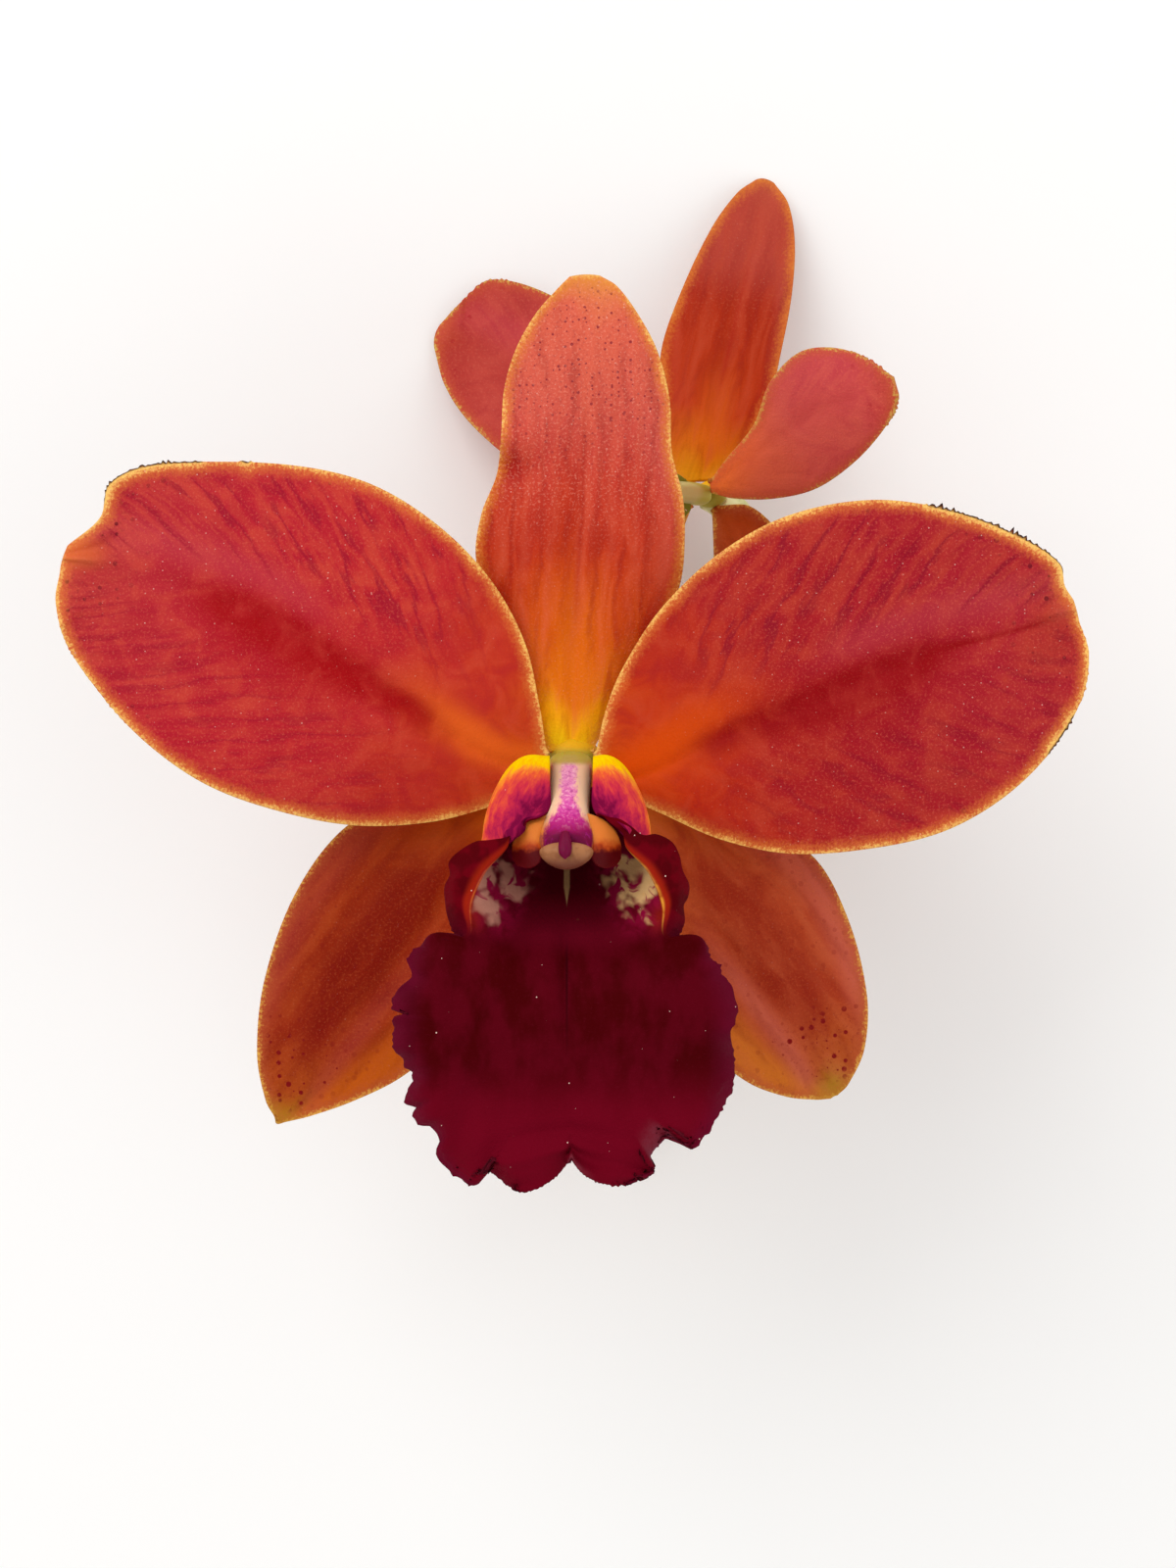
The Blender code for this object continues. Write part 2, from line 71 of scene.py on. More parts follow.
# Every blade is two margins and a midrib, each from base to tip, with heights along the midrib.
# droop lowers both margins, and twist raises the high one and lowers the low one. teeth are stretches
# of a margin, as (margin, from share, to share, length of a tooth). folds are dents and ridges, as
# (share along, place across, length share, breadth share, lift). lean slants the veins.
BLADES = {
    "front_dorsal_sepal": dict(
        low=[(2.0, 0.8), (2.7, 2.2), (5.5, 6.5), (8.0, 11.0), (10.0, 16.2), (10.4, 20.5), (10.2, 24.2),
             (9.2, 28.2), (9.0, 33.0), (7.9, 37.4), (6.2, 40.7), (4.2, 43.4), (2.6, 44.4)],
        mid=[(-0.1, 0.8), (0.3, 12.0), (1.0, 24.0), (1.2, 34.0), (1.2, 44.5)],
        high=[(-2.3, 0.8), (-3.1, 2.2), (-5.0, 6.5), (-7.2, 12.0), (-8.8, 18.4), (-8.3, 22.5), (-6.9, 26.1),
              (-6.5, 29.5), (-6.2, 34.0), (-5.1, 37.7), (-3.3, 40.9), (-1.3, 43.2), (-0.2, 44.3)],
        heights=[-1.8, -1.5, -0.7, 0.1, 0.2, -1.8], droop=1.6,
        folds=[(0.59, 1.0, 0.03, 0.35, -0.9), (0.655, 0.9, 0.04, 0.35, 0.9)]),
    "front_petal_left": dict(
        low=[(-2.3, -2.0), (-4.6, -3.2), (-7.2, -4.3), (-13.0, -5.8), (-20.0, -6.1), (-26.9, -4.8),
             (-33.5, -2.4), (-39.0, 1.4), (-43.2, 5.9), (-46.4, 10.6), (-47.4, 14.5), (-47.0, 17.2)],
        mid=[(-2.4, -0.9), (-7.3, 0.0), (-15.6, 5.3), (-22.9, 9.6), (-28.9, 13.3), (-38.0, 16.6),
             (-46.8, 18.3)],
        high=[(-2.3, 0.6), (-2.9, 4.6), (-4.3, 10.7), (-7.4, 16.4), (-12.2, 21.4), (-18.3, 25.2),
              (-25.0, 26.9), (-34.0, 27.3), (-39.6, 26.8), (-42.5, 25.2), (-43.3, 22.2), (-46.3, 19.6)],
        heights=[-0.3, 1.5, 2.8, 3.2, 2.6, 0.8], droop=1.8, lean=(3.4, 2.4),
        folds=[(0.97, 0.12, 0.05, 0.12, 0.7), (0.93, 0.4, 0.05, 0.16, -0.5)],
        teeth=[("high", 0.66, 0.70, 0.35), ("high", 0.73, 0.93, 0.5), ("low", 0.70, 0.97, 0.16)]),
    "front_petal_right": dict(
        low=[(2.2, -2.0), (4.2, -3.2), (8.2, -5.0), (13.7, -7.4), (20.0, -8.7), (27.0, -8.3), (33.8, -6.8),
             (39.2, -3.9), (43.6, 0.2), (46.8, 5.4), (47.5, 9.6), (46.6, 12.7)],
        mid=[(2.3, -0.9), (6.0, -1.7), (14.0, 2.2), (21.9, 5.2), (28.2, 7.9), (34.5, 10.2), (40.8, 11.8),
             (46.4, 13.6)],
        high=[(2.2, 0.5), (3.1, 4.4), (4.6, 8.2), (8.2, 13.8), (13.7, 19.0), (20.0, 22.4), (27.7, 23.8),
              (35.0, 22.8), (41.0, 20.5), (44.8, 18.0), (45.3, 15.9), (46.1, 14.6)],
        heights=[-0.3, 1.4, 2.6, 3.0, 2.3, 0.5], droop=1.8, lean=(1.5, 2.0),
        folds=[(0.96, 0.15, 0.05, 0.14, 0.6), (0.9, 0.45, 0.06, 0.16, -0.5)],
        teeth=[("high", 0.70, 0.97, 0.55), ("low", 0.76, 0.86, 0.4), ("low", 0.86, 1.0, 0.2)]),
    "front_lateral_sepal_left": dict(
        low=[(-1.0, -2.9), (-2.4, -6.0), (-4.6, -12.0), (-8.5, -20.5), (-12.0, -26.0), (-15.6, -29.2),
             (-20.0, -31.4), (-24.0, -32.8), (-26.5, -33.4)],
        mid=[(-1.9, -2.0), (-8.5, -9.5), (-15.5, -18.0), (-21.8, -26.0), (-27.1, -33.5)],
        high=[(-2.4, -1.0), (-6.5, -1.6), (-14.0, -3.0), (-20.7, -6.2), (-25.3, -12.2), (-28.2, -20.2),
              (-28.9, -27.0), (-28.1, -31.4), (-27.2, -33.0)],
        heights=[-2.0, -2.9, -3.6, -4.4, -5.4, -7.2], droop=1.2),
    "front_lateral_sepal_right": dict(
        low=[(2.0, -1.0), (6.2, -1.8), (14.0, -4.4), (21.9, -8.7), (25.2, -14.2), (27.1, -21.5),
             (26.9, -26.6), (25.4, -29.9), (24.4, -30.9)],
        mid=[(1.6, -2.0), (8.2, -9.5), (14.8, -17.5), (20.6, -25.3), (24.1, -31.0)],
        high=[(0.8, -2.9), (2.4, -6.0), (4.6, -12.0), (8.5, -20.5), (12.0, -26.2), (16.0, -29.6),
              (19.6, -31.0), (22.4, -31.3), (23.8, -31.2)],
        heights=[-2.0, -2.9, -3.6, -4.4, -5.4, -7.2], droop=1.2),
    "rear_dorsal_sepal": dict(
        low=[(13.4, 25.8), (16.0, 28.6), (18.2, 33.0), (19.2, 37.2), (20.2, 42.5), (20.5, 47.4),
             (19.9, 51.0), (18.6, 52.9)],
        mid=[(11.9, 25.6), (13.4, 33.0), (15.0, 40.0), (16.6, 47.0), (17.7, 53.3)],
        high=[(9.6, 25.4), (8.3, 28.4), (8.3, 33.0), (8.2, 37.4), (9.9, 42.6), (12.8, 48.7), (15.2, 52.0),
              (16.9, 53.2)],
        heights=[-32.6, -33.6, -36.4, -40.4, -45.0, -49.1], droop=1.4),
    "rear_petal_left": dict(
        low=[(9.6, 24.0), (7.0, 23.4), (2.6, 23.6), (-2.4, 25.2), (-6.6, 28.3), (-9.8, 31.4), (-11.7, 34.4),
             (-12.6, 37.6)],
        mid=[(9.6, 24.8), (4.6, 28.4), (-1.0, 32.6), (-6.8, 36.2), (-12.6, 38.8)],
        high=[(9.7, 25.6), (9.0, 28.4), (6.6, 34.0), (2.6, 39.6), (-2.8, 43.0), (-7.5, 44.0), (-9.9, 42.2),
              (-12.1, 39.9)],
        heights=[-31.5, -34.6, -38.0, -41.6, -45.6, -49.3], droop=1.0, twist=-2.6,
        teeth=[("high", 0.75, 0.98, 0.2)]),
    "rear_petal_right": dict(
        low=[(12.8, 24.4), (15.0, 23.9), (18.6, 23.9), (22.4, 24.8), (25.8, 27.1), (28.4, 29.9),
             (29.7, 32.2), (29.8, 33.4)],
        mid=[(12.7, 25.0), (17.0, 28.0), (21.6, 31.2), (25.8, 33.2), (29.7, 34.2)],
        high=[(12.8, 25.7), (14.3, 27.7), (16.7, 30.7), (18.2, 34.6), (21.0, 37.4), (24.6, 37.7),
              (27.8, 36.3), (29.4, 35.0)],
        heights=[-29.0, -23.0, -17.0, -11.6, -6.8, -3.4], droop=1.6, twist=-1.6,
        teeth=[("high", 0.8, 1.0, 0.22), ("low", 0.85, 1.0, 0.2)]),
    "rear_lateral_sepal_left": dict(
        low=[(10.7, 24.0), (6.8, 22.8), (1.8, 18.4), (-2.2, 11.6), (-3.8, 5.6), (-3.9, 2.6)],
        mid=[(10.9, 23.5), (6.8, 18.6), (3.0, 13.0), (-0.2, 7.4), (-3.4, 2.2)],
        high=[(11.0, 23.1), (9.6, 19.4), (7.4, 13.0), (4.0, 7.4), (0.0, 3.4), (-2.6, 2.0)],
        heights=[-33.2, -35.6, -38.4, -41.0, -43.2, -45.2], droop=1.0),
    "rear_lateral_sepal_right": dict(
        low=[(12.9, 22.8), (13.0, 20.0), (13.2, 16.4), (14.6, 10.4), (18.0, 5.0), (22.2, 2.2), (23.8, 1.6)],
        mid=[(12.9, 23.0), (15.6, 17.6), (18.6, 11.4), (21.6, 6.2), (24.3, 1.8)],
        high=[(13.5, 23.3), (16.4, 23.2), (19.2, 20.6), (22.6, 14.8), (24.8, 8.4), (25.2, 3.8),
              (24.7, 2.2)],
        heights=[-31.0, -27.6, -24.2, -20.8, -17.6, -15.2], droop=1.2),
}

# Half cross-sections of the lip, from its base under the column to the tip of the mid-lobe, each
# from the midline out to the free margin, as (distance from the midline, y, height).
LIP_MIDLINE_X = -0.45
LIP_SECTIONS = (
    ((0.0, -3.3, 0.6), (1.3, -3.1, 0.8), (2.4, -2.5, 1.1), (3.0, -1.6, 1.5), (3.1, -0.7, 1.9),
     (2.8, -0.1, 2.2), (2.4, 0.1, 2.4)),
    ((0.0, -5.3, 2.2), (2.0, -4.8, 2.3), (3.7, -3.7, 2.8), (4.6, -2.2, 3.6), (4.7, -0.9, 4.4),
     (3.7, -0.2, 5.1), (2.4, -0.3, 5.3)),
    ((0.0, -8.0, 4.6), (2.6, -7.4, 4.8), (4.8, -5.9, 5.5), (6.0, -4.0, 6.7), (5.8, -2.4, 8.1),
     (4.2, -1.7, 9.3), (2.4, -2.1, 9.7)),
    ((0.0, -10.4, 7.2), (3.0, -9.8, 7.4), (5.6, -8.2, 8.2), (6.9, -6.0, 9.8), (6.5, -4.6, 11.8),
     (4.6, -4.2, 13.1), (2.4, -4.6, 13.5)),
    ((0.0, -11.6, 8.6), (3.2, -11.1, 8.9), (6.0, -9.5, 9.9), (7.2, -7.4, 11.8), (6.2, -6.2, 14.2),
     (4.0, -6.0, 15.9), (3.8, -5.9, 16.0)),
    ((0.0, -12.8, 10.2), (3.5, -12.3, 10.6), (6.2, -10.8, 11.8), (7.5, -8.9, 14.0), (5.4, -8.0, 17.6),
     (6.2, -7.4, 17.6), (7.5, -7.5, 16.2)),
    ((0.0, -14.5, 12.4), (3.8, -14.2, 12.9), (6.6, -13.0, 14.5), (8.0, -11.4, 17.0), (7.5, -10.3, 19.4),
     (9.2, -9.6, 19.3), (10.8, -10.0, 17.8)),
    ((0.0, -16.2, 14.8), (3.8, -16.0, 15.2), (6.6, -15.2, 16.6), (8.4, -14.2, 18.7), (8.9, -13.2, 20.0),
     (10.3, -12.9, 19.8), (11.3, -13.4, 18.4)),
    ((0.0, -18.5, 17.6), (3.4, -18.2, 17.9), (6.2, -17.6, 18.6), (8.2, -16.9, 19.5), (9.0, -16.5, 19.9),
     (9.5, -16.6, 19.6), (9.9, -17.0, 19.0)),
    ((0.0, -21.0, 19.6), (3.0, -20.7, 19.8), (6.0, -20.1, 20.2), (9.0, -19.3, 20.4), (11.5, -18.6, 20.4),
     (13.2, -18.1, 20.0), (14.4, -17.9, 19.4)),
    ((0.0, -24.5, 20.8), (3.2, -24.3, 21.0), (6.4, -24.0, 21.2), (9.4, -23.6, 21.2), (12.0, -23.3, 21.0),
     (14.2, -23.0, 20.4), (15.8, -22.8, 19.6)),
    ((0.0, -28.0, 21.2), (3.2, -27.9, 21.3), (6.4, -27.8, 21.4), (9.4, -27.8, 21.2), (12.0, -27.8, 20.8),
     (14.0, -27.9, 20.2), (15.5, -28.0, 19.4)),
    ((0.0, -31.5, 21.0), (3.2, -31.7, 21.2), (6.3, -32.1, 21.2), (9.2, -32.5, 21.0), (11.5, -32.8, 20.6),
     (13.2, -33.0, 20.0), (14.4, -33.0, 19.2)),
    ((0.0, -34.5, 20.6), (2.8, -35.1, 20.8), (5.4, -36.0, 20.8), (7.4, -36.8, 20.6), (8.8, -37.3, 20.2),
     (9.8, -37.6, 19.6), (10.6, -37.7, 19.0)),
    ((0.0, -36.6, 20.2), (1.2, -37.9, 20.3), (2.4, -38.7, 20.3), (3.6, -39.2, 20.1), (4.6, -39.4, 19.9),
     (5.4, -39.5, 19.6), (6.2, -39.4, 19.3)),
)
# Where the lip's margin leaves the column, folds outwards, and narrows before the mid-lobe.
LIP_FREE, LIP_FOLD, LIP_WAIST = 0.25, 0.345, 0.571
# The lip's true margin, from the column round the side lobe and the mid-lobe to the notch in its
# tip, with every bay and tooth that is wider than half a millimetre.
LIP_MARGIN_LEFT = (
    (-2.1, -5.0), (-3.1, -5.5), (-4.1, -5.7), (-4.9, -6.7), (-5.8, -7.6), (-7.0, -7.8), (-7.9, -7.5),
    (-8.9, -7.6), (-10.4, -8.5), (-11.3, -9.5), (-11.2, -10.6), (-11.7, -11.8), (-11.6, -13.5),
    (-11.4, -14.5), (-10.8, -16.0), (-10.1, -16.9), (-11.4, -17.2), (-13.0, -16.7), (-13.8, -17.2),
    (-14.5, -17.6), (-15.1, -18.5), (-14.9, -19.1), (-14.6, -19.8), (-15.3, -20.7), (-16.0, -21.2),
    (-16.4, -22.4), (-16.4, -23.1), (-15.3, -23.3), (-16.4, -23.9), (-16.1, -24.7), (-16.4, -25.2),
    (-16.2, -26.9), (-15.5, -27.5), (-15.3, -28.3), (-14.6, -28.8), (-14.6, -29.7), (-15.2, -30.8),
    (-15.2, -31.7), (-14.3, -32.0), (-14.6, -32.6), (-14.0, -33.6), (-13.0, -33.7), (-12.1, -35.1),
    (-12.5, -36.2), (-11.7, -37.3), (-10.7, -38.2), (-8.7, -39.1), (-7.6, -37.8), (-5.9, -39.1),
    (-4.8, -39.6), (-3.1, -39.4), (-1.4, -38.3), (0.0, -36.6))
LIP_MARGIN_RIGHT = (
    (2.2, -5.0), (3.2, -5.3), (4.4, -5.5), (5.5, -6.2), (6.2, -6.8), (6.8, -7.0), (7.8, -6.9), (9.2, -7.6),
    (9.9, -8.8), (10.2, -10.2), (10.8, -11.5), (10.7, -12.7), (10.3, -13.5), (10.4, -14.9), (9.9, -16.1),
    (9.7, -16.5), (12.2, -16.6), (12.5, -17.1), (12.7, -18.2), (13.6, -19.0), (13.8, -19.9), (14.7, -20.8),
    (15.0, -22.0), (15.3, -23.1), (15.0, -23.9), (15.0, -24.6), (14.5, -24.8), (14.7, -26.1), (14.9, -27.4),
    (14.9, -29.2), (14.5, -30.6), (13.5, -32.6), (12.1, -34.6), (10.7, -35.9), (9.8, -34.9), (8.7, -34.6),
    (8.0, -35.4), (7.2, -36.6), (7.6, -37.6), (6.2, -38.4), (4.5, -39.1), (2.5, -38.9), (0.8, -37.9),
    (0.0, -36.6))
# Length of the margin's finest teeth. The mid-lobe's outline is stretched away from its centre, and
# begins at this share of the true margin.
LIP_TEETH = 0.34
LOBE_CENTRE, LOBE_BEGINS = np.array((-0.45, -26.0)), 0.36

# Column, as rings of (x, y, height, half-width, half-depth, how far the sides droop).
COLUMN_X = -0.3
COLUMN_LEAN = math.radians(19.0)
COLUMN_RINGS = (
    (-0.1, -0.6, -1.2, 1.95, 1.4, 0.0),
    (-0.1, -1.2, 1.0, 1.95, 1.5, 0.0),
    (-0.1, -2.7, 5.5, 1.88, 1.5, 0.0),
    (-0.15, -4.1, 10.0, 1.8, 1.5, 0.1),
    (-0.25, -5.1, 13.0, 1.9, 1.5, 0.3),
    (-0.3, -5.9, 15.0, 2.2, 1.4, 0.6),
    (-0.3, -6.6, 16.6, 2.3, 1.2, 0.7),
    (-0.3, -7.1, 17.7, 1.9, 0.9, 0.6),
)
# A wing of the column, as (x from the column's middle, y, height) of its upper and lower edge.
WING_UPPER = ((0.9, -4.7, 12.9), (1.8, -4.8, 14.3), (3.1, -5.3, 15.2), (4.1, -6.2, 15.7), (4.6, -7.4, 15.9),
              (4.6, -8.6, 15.9))
WING_LOWER = ((0.7, -6.7, 14.2), (1.5, -7.2, 16.0), (2.0, -8.2, 16.9), (2.4, -9.0, 17.0), (3.2, -9.4, 16.7),
              (4.2, -9.2, 16.2))
WING_THICK = 0.8
# The tooth between the wings, as points with radii, the cap over the pollen, and the fleshy hub.
TOOTH_ROUTE = (((-0.4, -6.5, 17.9), 0.4), ((-0.4, -7.1, 18.8), 0.52), ((-0.4, -7.8, 19.6), 0.56),
               ((-0.4, -8.5, 20.0), 0.42))
CAP_CENTRE = np.array((-0.3, -7.95, 18.5))
CAP_SIZE = np.array((2.25, 1.5, 1.05))
HUB_CENTRE = np.array((0.1, 0.3, -3.25))
HUB_SIZE = np.array((2.5, 1.9, 1.7))

# Stalks, as points on the middle line with radii, from each bloom downwards.
STALKS = {
    "front_ovary": (((-0.2, -0.6, -3.7), 2.3), ((-0.2, -0.6, -5.2), 1.9), ((-0.3, -3.2, -10.5), 2.0),
                    ((0.6, -7.4, -20.0), 1.9), ((3.6, -10.4, -31.0), 1.6), ((8.0, -10.7, -39.6), 1.5),
                    ((11.1, -11.5, -44.6), 1.6)),
    "rear_ovary": (((14.9, 28.5, -32.8), 1.8), ((15.9, 28.1, -34.0), 1.6), ((18.0, 26.4, -37.0), 1.8),
                   ((20.6, 22.2, -41.0), 1.7), ((21.8, 14.6, -44.4), 1.5), ((19.6, 3.0, -46.2), 1.4),
                   ((15.6, -6.0, -46.6), 1.6)),
    "peduncle": (((15.4, -6.4, -46.6), 1.9), ((13.4, -10.0, -46.9), 2.5), ((11.0, -16.0, -47.2), 2.3),
                 ((8.0, -24.0, -47.4), 2.1), ((5.6, -32.0, -47.5), 2.2), ((4.0, -40.0, -47.8), 2.3)),
}
# Bracts: face is the side of the stalk that a bract stands on.
BRACT_LENGTH = 9.0
BRACT_GAP = 0.4
BRACTS = {
    "front_bract": dict(stalk="front_ovary", face=(-0.85, -0.3, -0.4)),
    "rear_bract": dict(stalk="rear_ovary", face=(0.8, -0.4, 0.35)),
}

# Studio: tint and strength of the even white surroundings, lamps as (name, place, width, watts), and
# the floor's half width and how far it lies under the spray, in metres.
WORLD_TINT, WORLD_LIGHT = (1.0, 0.99, 0.97, 1.0), 0.78
LAMPS = (("key", (-0.5, 0.6, 0.75), 0.8, 4.6), ("fill", (0.7, -0.2, 0.5), 0.8, 1.2))
FLOOR_HALF, FLOOR_DROP = 1.5, 0.0003
LENS, SENSOR, NEAREST = 50.0, 36.0, 0.01

# Seeds of the random shapes: each tepal's, the lips', and each bract's.
TEPAL_SEEDS, LIP_SEED, BRACT_SEEDS = range(100, 200, 10), 300, range(500, 502)

# Teeth of a margin and longer tufts of them, how far apart along it.
TOOTH_APART, TUFT_APART = 0.4, 2.3
# Relief of a blade: the groove along the midrib and the trough round it, as depth and width, and how
# high the hills, the waved margin and the veins stand.
GROOVE_DEPTH, GROOVE_WIDTH = 0.3, 0.5
PETAL_TROUGH, SEPAL_TROUGH, TROUGH_WIDTH = 0.6, 0.35, 2.6
HILL_HEIGHT, WAVE_HEIGHT, VEIN_HEIGHT = 0.45, 0.9, 0.08
# Relief of the lip: how far apart its margin is pinned to the true one, how much of the mid-lobe stays
# unstretched, the frills at its sides and on the mid-lobe, its folds, crease and keels.
PINS_APART, LOBE_CORE = 2.6, 0.4
SIDE_FRILL, LOBE_FRILL, FOLD_LIFT, RADIAL_HEIGHT = 0.4, 1.1, 0.25, 0.8
CREASE_DEPTH, CREASE_WIDTH = 0.35, 0.45
KEEL_HEIGHT, KEEL_OFFSET, KEEL_WIDTH = 0.5, 2.0, 1.3
# Patterns: how far a blade's colours wander along it, how much a dot's edge is softened, how fast veins
# wander across and along, and how far in the rim's colour reaches before it is made ragged.
LENGTH_BLUR, DOT_EDGE, VEIN_WANDER, RIM_START = 0.12, 0.3, (0.3, 0.18), 1.05
# The burnt tips of the teeth, and the colour of the tiny highlights painted on the tepals.
BURNT_TOOTH, PAINTED_GLINT = "3A1C14", "FFD0C0"
# Cells of the tepals, velvet of the lip, pores of a stalk and fibres of a bract, in millimetres. The
# real ones are too fine to show, so each is drawn as coarse as it needs to be to show.
CELL_GRAIN, VELVET_GRAIN, PORES_APART, PORE_SIZE, FIBRE_WIDTH = 0.24, 0.3, 0.8, 0.28, 0.35


# Curves and surfaces

def along(points, shares):
    """Points at these shares of a smooth curve through the given ones, by their chord lengths."""
    points = np.asarray(points, float)
    chords = np.linalg.norm(np.diff(points, axis=0), axis=1)
    ends = run(points)
    left = np.clip(shares, 0.0, 1.0) * ends[-1]
    last = len(chords) - 1
    i = np.clip(np.searchsorted(ends, left, side="right") - 1, 0, last)
    t = ((left - ends[i]) / chords[i])[..., None]
    before = points[np.maximum(i - 1, 0)]
    after = points[np.minimum(i + 2, len(points) - 1)]
    a, b = points[i], points[i + 1]
    slower = np.where(i > 0, chords[np.maximum(i - 1, 0)] / chords[i], 0.0)[..., None]
    faster = np.where(i < last, chords[np.minimum(i + 1, last)] / chords[i], 0.0)[..., None]
    slope_a, slope_b = (b - before) / (1.0 + slower), (after - a) / (1.0 + faster)
    square, cube = t * t, t * t * t
    return (a * (2 * cube - 3 * square + 1) + slope_a * (cube - 2 * square + t)
            + b * (3 * square - 2 * cube) + slope_b * (cube - square))


def evenly(points, shares):
    """As along, with the points taken as equally far apart. They may be numbers or whole arrays."""
    points = np.asarray(points, float)
    place = np.clip(shares, 0.0, 1.0) * (len(points) - 1)
    i = np.minimum(place.astype(int), len(points) - 2)
    t = (place - i).reshape(place.shape + (1,) * (points.ndim - 1))
    padded = np.concatenate((2 * points[:1] - points[1:2], points, 2 * points[-1:] - points[-2:-1]))
    before, a, b, after = padded[i], padded[i + 1], padded[i + 2], padded[i + 3]
    return 0.5 * (2 * a + (b - before) * t + (2 * before - 5 * a + 4 * b - after) * t * t
                  + (3 * a - before - 3 * b + after) * t * t * t)


def run(line):
    """How far along a line each of its points lies."""
    return np.concatenate(([0.0], np.cumsum(np.linalg.norm(np.diff(line, axis=0), axis=1))))


def from_eye(flat, height):
    """Points that look as drawn from above the front bloom once they are at their own heights."""
    nearer = (1.0 - height / EYE[2])[..., None]
    return np.concatenate((EYE[:2] + (flat - EYE[:2]) * nearer, height[..., None]), axis=-1)


def rise(value, start, end):
    """0 before start, 1 after end, smooth between. start may be the larger."""
    t = np.clip((value - start) / (end - start), 0.0, 1.0)
    return t * t * (3 - 2 * t)


def between(value, start, full, fading, end):
    """Rises from 0 at start to 1 at full, and falls from 1 at fading to 0 at end."""
    return rise(value, start, full) * rise(value, end, fading)


def hump(value, centre, width):
    """1 at the centre, falling off smoothly on both sides over about twice the width."""
    return np.exp(-((value - centre) / width) ** 2)


def swell(u, v, seed):
    """Smooth random hills about one unit wide, between -1 and 1."""
    heights = np.random.RandomState(seed).uniform(-1, 1, (64, 64))
    i, j = np.floor(u).astype(int), np.floor(v).astype(int)
    s, t = u - i, v - j
    s, t = s * s * (3 - 2 * s), t * t * (3 - 2 * t)
    i, j, i2, j2 = i % 64, j % 64, (i + 1) % 64, (j + 1) % 64
    return ((heights[i, j] * (1 - s) + heights[i2, j] * s) * (1 - t)
            + (heights[i, j2] * (1 - s) + heights[i2, j2] * s) * t)


def normals_of(grid):
    """A sheet's normals at its points."""
    down, over = np.gradient(grid, axis=0), np.gradient(grid, axis=1)
    out = np.cross(down, over)
    return out / np.maximum(np.linalg.norm(out, axis=-1, keepdims=True), 1e-9)


def distance_to_rim(flat):
    """How far each point of a sheet lies from its free margin, in the plane it is drawn in."""
    rim = np.concatenate((flat[:, 0], flat[-1], flat[::-1, -1]))[::2]
    points = flat.reshape(-1, 2)
    nearest = np.empty(len(points))
    for start in range(0, len(points), 2000):
        block = points[start:start + 2000]
        nearest[start:start + 2000] = np.sqrt(((block[:, None] - rim[None]) ** 2).sum(-1).min(1))
    return nearest.reshape(flat.shape[:2])


def build(name, verts, faces, values, finish, replaced):
    """Makes the mesh in metres, with named numbers or vectors at its points for the finish to read."""
    mesh = bpy.data.meshes.new(name)
    mesh.from_pydata((np.asarray(verts) * MM).tolist(), [], faces)
    mesh.update()
    for key, value in values.items():
        value = np.asarray(value, np.float32)
        if value.ndim == 2:
            layer = mesh.attributes.new(key, "FLOAT_VECTOR", "POINT")
            layer.data.foreach_set("vector", value.ravel())
        else:
            layer = mesh.attributes.new(key, "FLOAT", "POINT")
            layer.data.foreach_set("value", value)
    mesh.polygons.foreach_set("use_smooth", [True] * len(mesh.polygons))
    mesh.materials.append(finish)
    piece = bpy.data.objects.new(name, mesh)
    bpy.context.scene.collection.objects.link(piece)
    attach(piece, "root")
    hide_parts(replaced)
    return piece


def sheet(grid, thick, facing):
    """Points and faces of a closed sheet: the grid, its back, and the strip round its rim. Its front
    looks mostly towards facing."""
    normals = normals_of(grid)
    flip = (normals.reshape(-1, 3) @ np.asarray(facing, float)).sum() < 0
    if flip:
        normals = -normals
    rows, cols = grid.shape[:2]
    front = grid.reshape(-1, 3)
    back = (grid - normals * thick[..., None]).reshape(-1, 3)
    count = rows * cols
    index = np.arange(count).reshape(rows, cols)
    a, b, c, d = index[:-1, :-1], index[1:, :-1], index[1:, 1:], index[:-1, 1:]
    faces = np.stack((a, b, c, d), -1).reshape(-1, 4)
    rim = np.concatenate((index[0, :-1], index[:-1, -1], index[-1, :0:-1], index[:0:-1, 0]))
    after = np.roll(rim, -1)
    strip = np.stack((rim, after, after + count, rim + count), -1)
    if flip:
        faces, strip = faces[:, ::-1], strip[:, ::-1]
    faces = np.concatenate((faces, faces[:, ::-1] + count, strip))
    return np.concatenate((front, back)), faces.tolist()


def both_faces(values):
    """The same numbers or vectors for a sheet's front and for its back."""
    return {key: np.concatenate([value.reshape(-1, *value.shape[2:])] * 2) for key, value in values.items()}


def placed(points, rear):
    """From a bloom's own millimetres to the part's."""
    points = np.asarray(points, float)
    if rear:
        turn = np.array(REAR_TURN.to_matrix())
        points = points @ turn.T * REAR_SIZE + REAR_CENTRE
    return points + FRONT_CENTRE


# Petals and sepals

def tooth_profile(arc, seed):
    """A ragged row of small teeth at places along a margin, 1 where a tooth is as long as most."""
    chance = np.random.RandomState(seed)
    rough, tuft = chance.uniform(0.1, 1.0, 512), chance.uniform(0.2, 1.3, 64)
    place = arc / TOOTH_APART + 0.5 * np.sin(arc * 1.3)
    tooth = np.floor(place).astype(int)
    within = np.abs(place - tooth - 0.5) * 2
    longer = np.interp(arc / TUFT_APART % 64, np.arange(64), tuft)
    return np.clip(1.25 - 1.6 * within, 0, 1) * rough[tooth % 512] * longer


